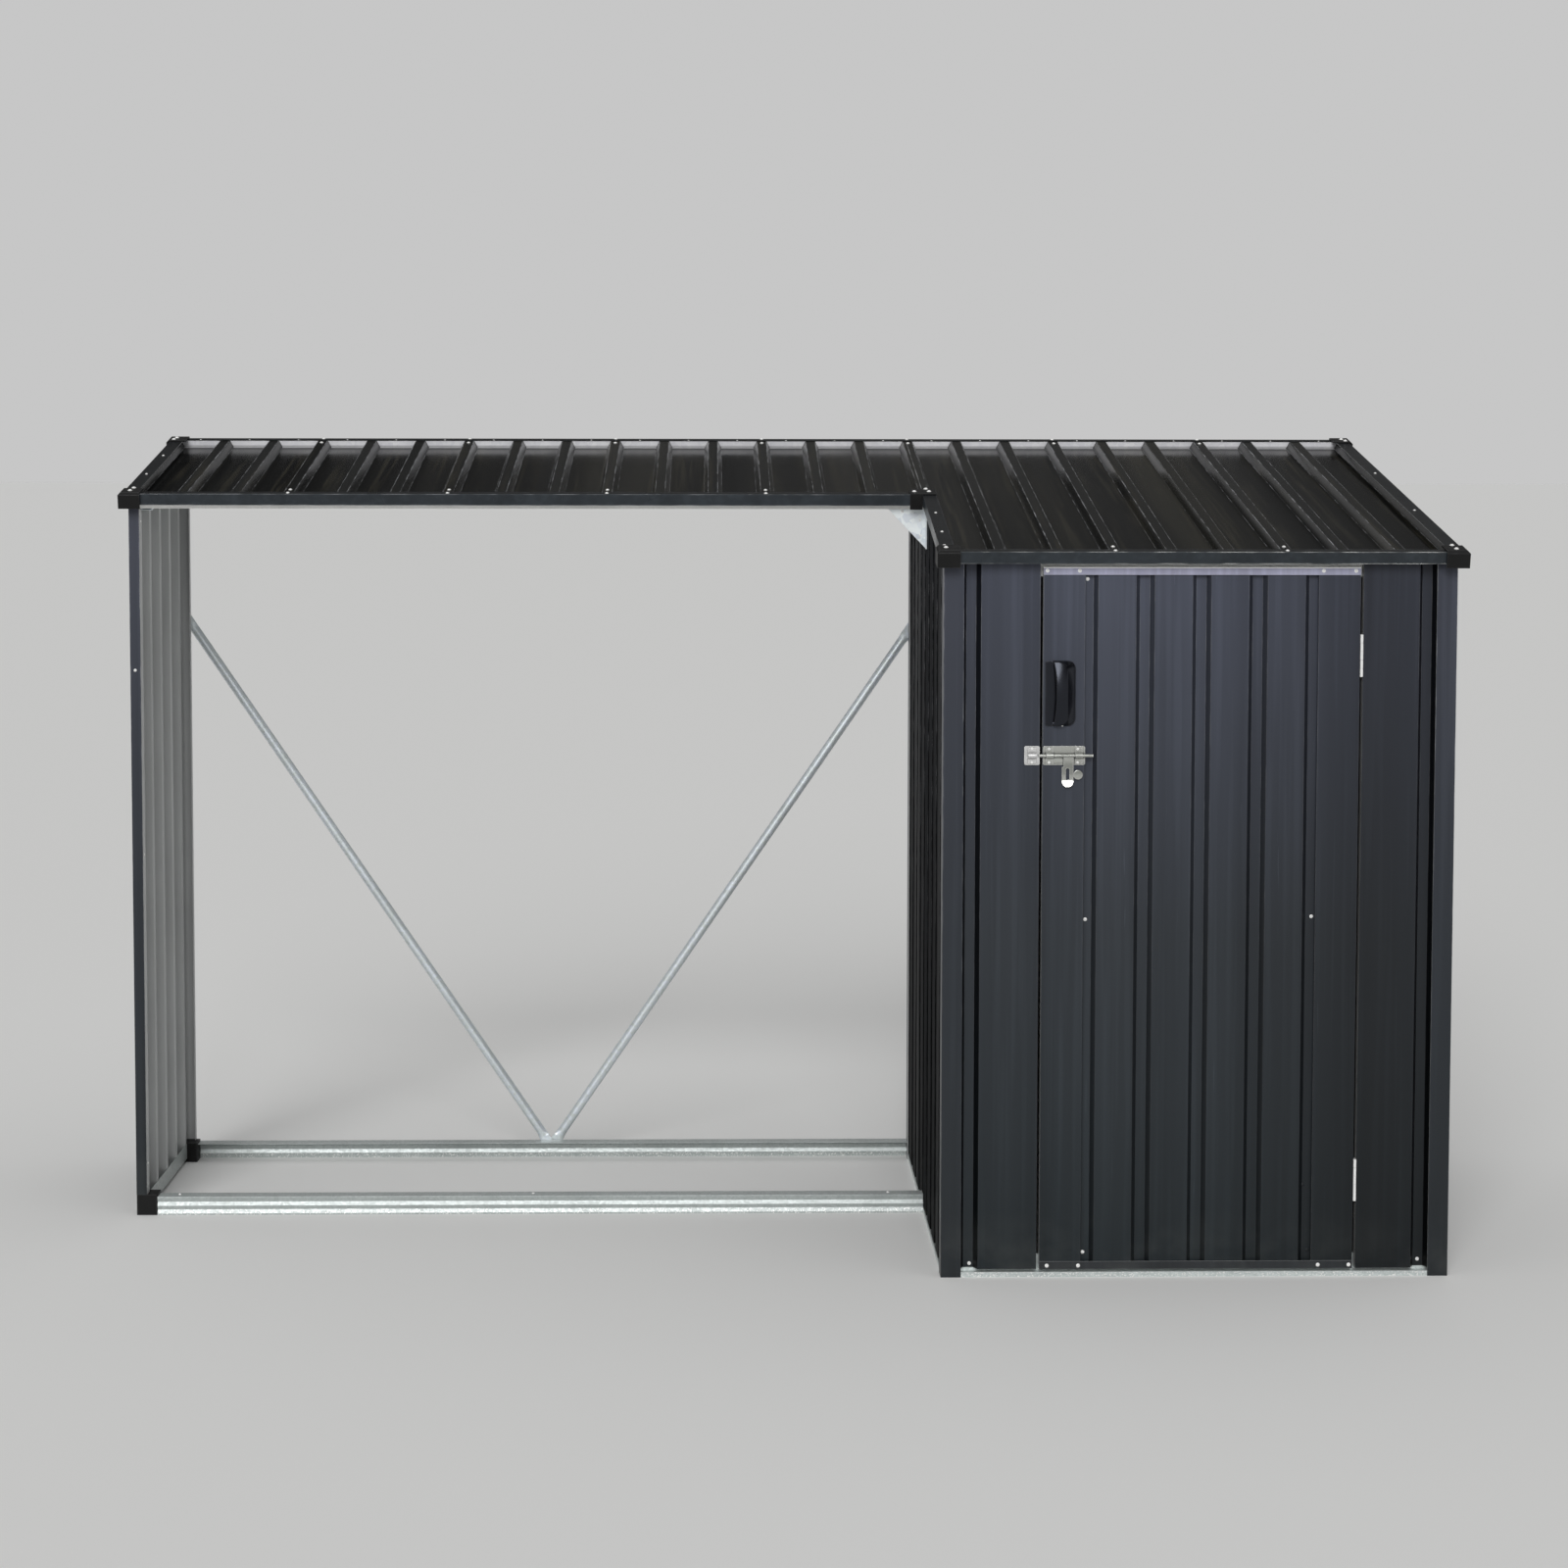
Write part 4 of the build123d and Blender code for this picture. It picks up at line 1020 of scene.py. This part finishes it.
valley_floor = land((MIDWAY, roof_rear - 0.045, OUTSIDE), DOWN)[0]
rib_crown = land((0, roof_rear - 0.045, OUTSIDE), DOWN)[0]
floor_level = valley_floor.dot(Vector(ROOF_UP))
crown_level = rib_crown.dot(Vector(ROOF_UP))
behind = valley_floor.dot(ROOF_RUN)
flange = land(on_the_roof(MIDWAY, behind - 0.1, crown_level + 0.0006), ROOF_RUN)[0]
flange_edge = flange.dot(ROOF_RUN)
VALLEY_LOW, VALLEY_HIGH = 0.002, 0.013
half_low, half_high = (
    land(on_the_roof(MIDWAY, behind, floor_level + up), RIGHT)[0].x - MIDWAY
    for up in (VALLEY_LOW, VALLEY_HIGH)
)
print("valley", round(crown_level - floor_level, 4), "deep, flange edge at", round(flange_edge, 4))

# %% Coat the tabs
TAB_LIGHT, TAB_DARK = (0.96, 0.96, 0.98), (0.84, 0.84, 0.88)
TAB_FOOT_SHADE = (0.0065, 0.0015)
TAB_FOOT_SHADE_TONE = 0.36
tab_zinc = galvanised("tab_zinc", 0.010, TAB_LIGHT, TAB_DARK, metal=0.1)
shader, place, colour = reopen(tab_zinc)
height = across_the_sheet(tab_zinc, place, ROOF_UP)
# Painted shade at the foot of each tab.
shaded_foot = spread(tab_zinc, height, *(floor_level + up for up in TAB_FOOT_SHADE))
wire(tab_zinc, darken(tab_zinc, shaded_foot, colour, TAB_FOOT_SHADE_TONE), shader.inputs["Base Color"])
print("coated the tabs")

# %% Fold the tabs
TAB_STEEL = 0.0008
TAB_BEND = 0.0012
TAB_FOOT = 0.0050
TAB_BEHIND_FLANGE = 0.0012
TAB_SCREW_INSET = 0.0028
TAB_PLAY = 0.0003
BEND_STEPS = 4


def tab_outline():
    """The tab seen from the side, as pairs of run and level."""
    upright = flange_edge + TAB_BEHIND_FLANGE
    centre = (upright - TAB_BEND, floor_level + TAB_STEEL + TAB_BEND)
    turns = [math.radians(-90 + 90 * step / BEND_STEPS) for step in range(BEND_STEPS + 1)]
    inner, outer = (
        [(centre[0] + bend * math.cos(turn), centre[1] + bend * math.sin(turn)) for turn in turns]
        for bend in (TAB_BEND, TAB_BEND + TAB_STEEL)
    )
    foot = flange_edge - TAB_FOOT
    start = [(foot, floor_level), (foot, floor_level + TAB_STEEL)]
    return start + inner + [(upright, crown_level), (upright + TAB_STEEL, crown_level)] + outer[::-1]


def add_tab(mesh, middle):
    """Stretches the outline across one valley. It widens upwards, as the valley does."""
    sides = []
    for side in (-1, 1):
        ring = []
        for run, level in tab_outline():
            rise = (level - floor_level - VALLEY_LOW) / (VALLEY_HIGH - VALLEY_LOW)
            half = half_low + (half_high - half_low) * rise - TAB_PLAY
            ring.append(mesh.verts.new(on_the_roof(middle + side * half, run, level)))
        sides.append(ring)
    left_ring, right_ring = sides
    for index in range(len(left_ring)):
        after = (index + 1) % len(left_ring)
        mesh.faces.new((left_ring[index], right_ring[index], right_ring[after], left_ring[after]))
    mesh.faces.new(left_ring)
    mesh.faces.new(right_ring[::-1])


tab_middles = [(rib + 0.5) * RIB_PITCH for rib in range(-12, 12)]
tab_mesh = bmesh.new()
for middle in tab_middles:
    add_tab(tab_mesh, middle)
bmesh.ops.recalc_face_normals(tab_mesh, faces=tab_mesh.faces)
tab_data = bpy.data.meshes.new("valley_tabs")
tab_mesh.to_mesh(tab_data)
tab_mesh.free()
tabs = bring_in("valley_tabs", tab_data)
tab_data.materials.append(tab_zinc)
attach(tabs, "root")
surfaces["valley_tabs"] = surface_of(tab_data)
foot_y = on_the_roof(0, flange_edge - TAB_SCREW_INSET, floor_level).y
tab_spots = [(middle, foot_y) for middle in tab_middles]
screw_set("valley_tab_screws", from_above(tab_spots), DOWN, size=0.42)
print(len(tab_middles), "tabs")

# %% [markdown]
# ## Screws in the sides and the back
# The side walls and the rear wall are fixed through their flats to the base at the bottom and to
# the beams at the top, and the corner posts are fixed about every half metre. The feet of the
# braces share one screw in the rear rail.

# %% Screw the sides, the back and the frame
POST_SCREWS = (0.12, 0.65, 1.18)
BASE_SCREW = 0.026
side_spots_left = [(-OUTSIDE, y, z) for y in (0.06, 0.16, 0.26, 0.36) for z in (BASE_SCREW, 1.33)]
side_spots_left += [(-OUTSIDE, y, z) for y in (0.006, 0.437) for z in POST_SCREWS]
screw_set("left_wall_screws", side_spots_left, RIGHT, size=SHEET_SCREW)
side_spots_right = []
for step in range(5):
    y = -0.405 + 0.2 * step
    side_spots_right += [(OUTSIDE, y, BASE_SCREW), (OUTSIDE, y, 1.20 + 0.04 * step)]
side_spots_right += [(OUTSIDE, y, z) for y in (-0.448, 0.438) for z in POST_SCREWS]
screw_set("right_wall_screws", side_spots_right, LEFT, size=SHEET_SCREW)
rear_spots = [(0.41 + 0.2 * step, OUTSIDE, z) for step in range(4) for z in (BASE_SCREW, 1.40)]
rear_spots += [(x, OUTSIDE, z) for x in (0.324, 1.197) for z in POST_SCREWS]
screw_set("rear_wall_screws", rear_spots, FRONT, size=SHEET_SCREW)
brace_spots = [(-0.440, OUTSIDE, 0.020), (-1.199, OUTSIDE, 1.143), (0.315, OUTSIDE, 1.118)]
screw_set("brace_screws", brace_spots, FRONT, size=1.2)
screw_set("log_post_screws", [(-1.2056, -OUTSIDE, 1.0565)], REAR, size=0.6)
screw_set("log_lip_screws", [(-1.15, -0.001, z) for z in (1.341, 0.70, 0.10)], LEFT, size=0.6)
log_rail_spots = [(x, 0.004, 0.2) for x in (-1.1345, -0.45, 0.24)]
screw_set("log_rail_screws", log_rail_spots, DOWN, size=SHEET_SCREW)
gusset_spots = [(x, -0.30, z) for x, z in ((0.296, 1.345), (0.262, 1.362), (0.297, 1.315))]
screw_set("gusset_screws", gusset_spots, REAR, size=0.6)

# %% [markdown]
# ## Floor and light
# The floor is one very large pale sheet, so that it runs to the horizon from every side. The sky
# is as pale as the floor near the horizon, which hides the line between them. Above that comes
# a dim band, dimmer on the left than on the right, so that the glossy roof mirrors something
# quiet and stays nearly black, and then pale again overhead. One very soft, low sun from the
# front gives the ribs their modelling, reaches in under the trims, and gives the object its
# shadow.

# %% Lay the floor
FLOOR_REACH = 400.0
FLOOR_COLOUR = (0.84, 0.84, 0.83, 1)
FLOOR_CORNERS = ((-1, -1), (1, -1), (1, 1), (-1, 1))


def pale_floor():
    finish, shader, _ = start_finish("pale_floor", 0.0)
    shader.inputs["Base Color"].default_value = FLOOR_COLOUR
    shader.inputs["Roughness"].default_value = 1.0
    data = bpy.data.meshes.new("floor")
    corners = [(x * FLOOR_REACH, y * FLOOR_REACH, 0) for x, y in FLOOR_CORNERS]
    data.from_pydata(corners, [], [(0, 1, 2, 3)])
    data.materials.append(finish)
    return bring_in("floor", data)


pale_floor()

# %% Light it
SUN_STRENGTH = 1.7
SUN_SPREAD = math.radians(32)
SUN_HEIGHT = math.radians(29)
SUN_SIDE = math.radians(-10)

sun = bpy.data.lights.new("soft_sun", "SUN")
sun.energy = SUN_STRENGTH
sun.angle = SUN_SPREAD
lamp = bring_in("soft_sun", sun)
toward_sun = Vector((
    math.sin(SUN_SIDE) * math.cos(SUN_HEIGHT),
    -math.cos(SUN_SIDE) * math.cos(SUN_HEIGHT),
    math.sin(SUN_HEIGHT),
))
lamp.rotation_mode = "QUATERNION"
lamp.rotation_quaternion = toward_sun.to_track_quat("Z", "Y")

# %% Paint the sky
SKY_LEFT = ((0.00, 0.57), (0.22, 0.57), (0.34, 0.012), (0.52, 0.012), (0.80, 0.62))
SKY_RIGHT = ((0.00, 0.57), (0.22, 0.57), (0.34, 0.075), (0.52, 0.075), (0.80, 0.62))
SKY_TURN = (-0.17, 0.02)
sky = bpy.data.worlds.new("soft_sky")
sky.use_nodes = True
split = add(sky, "ShaderNodeSeparateXYZ")
wire(sky, add(sky, "ShaderNodeTexCoord").outputs["Generated"], split.inputs["Vector"])


def sky_bands(stops):
    """The sky's brightness by height, from pairs of height and brightness."""
    bands = add(sky, "ShaderNodeValToRGB")
    fill_ramp(bands.color_ramp, stops)
    wire(sky, split.outputs["Z"], bands.inputs["Fac"])
    return bands.outputs["Color"]


sideways = spread(sky, split.outputs["X"], *SKY_TURN)
both = blend_colours(sky, sideways, sky_bands(SKY_LEFT), sky_bands(SKY_RIGHT))
wire(sky, both, sky.node_tree.nodes["Background"].inputs["Color"])
bpy.context.scene.world = sky
bpy.context.scene.view_settings.view_transform = "Standard"
print("floor laid, sun and sky set")
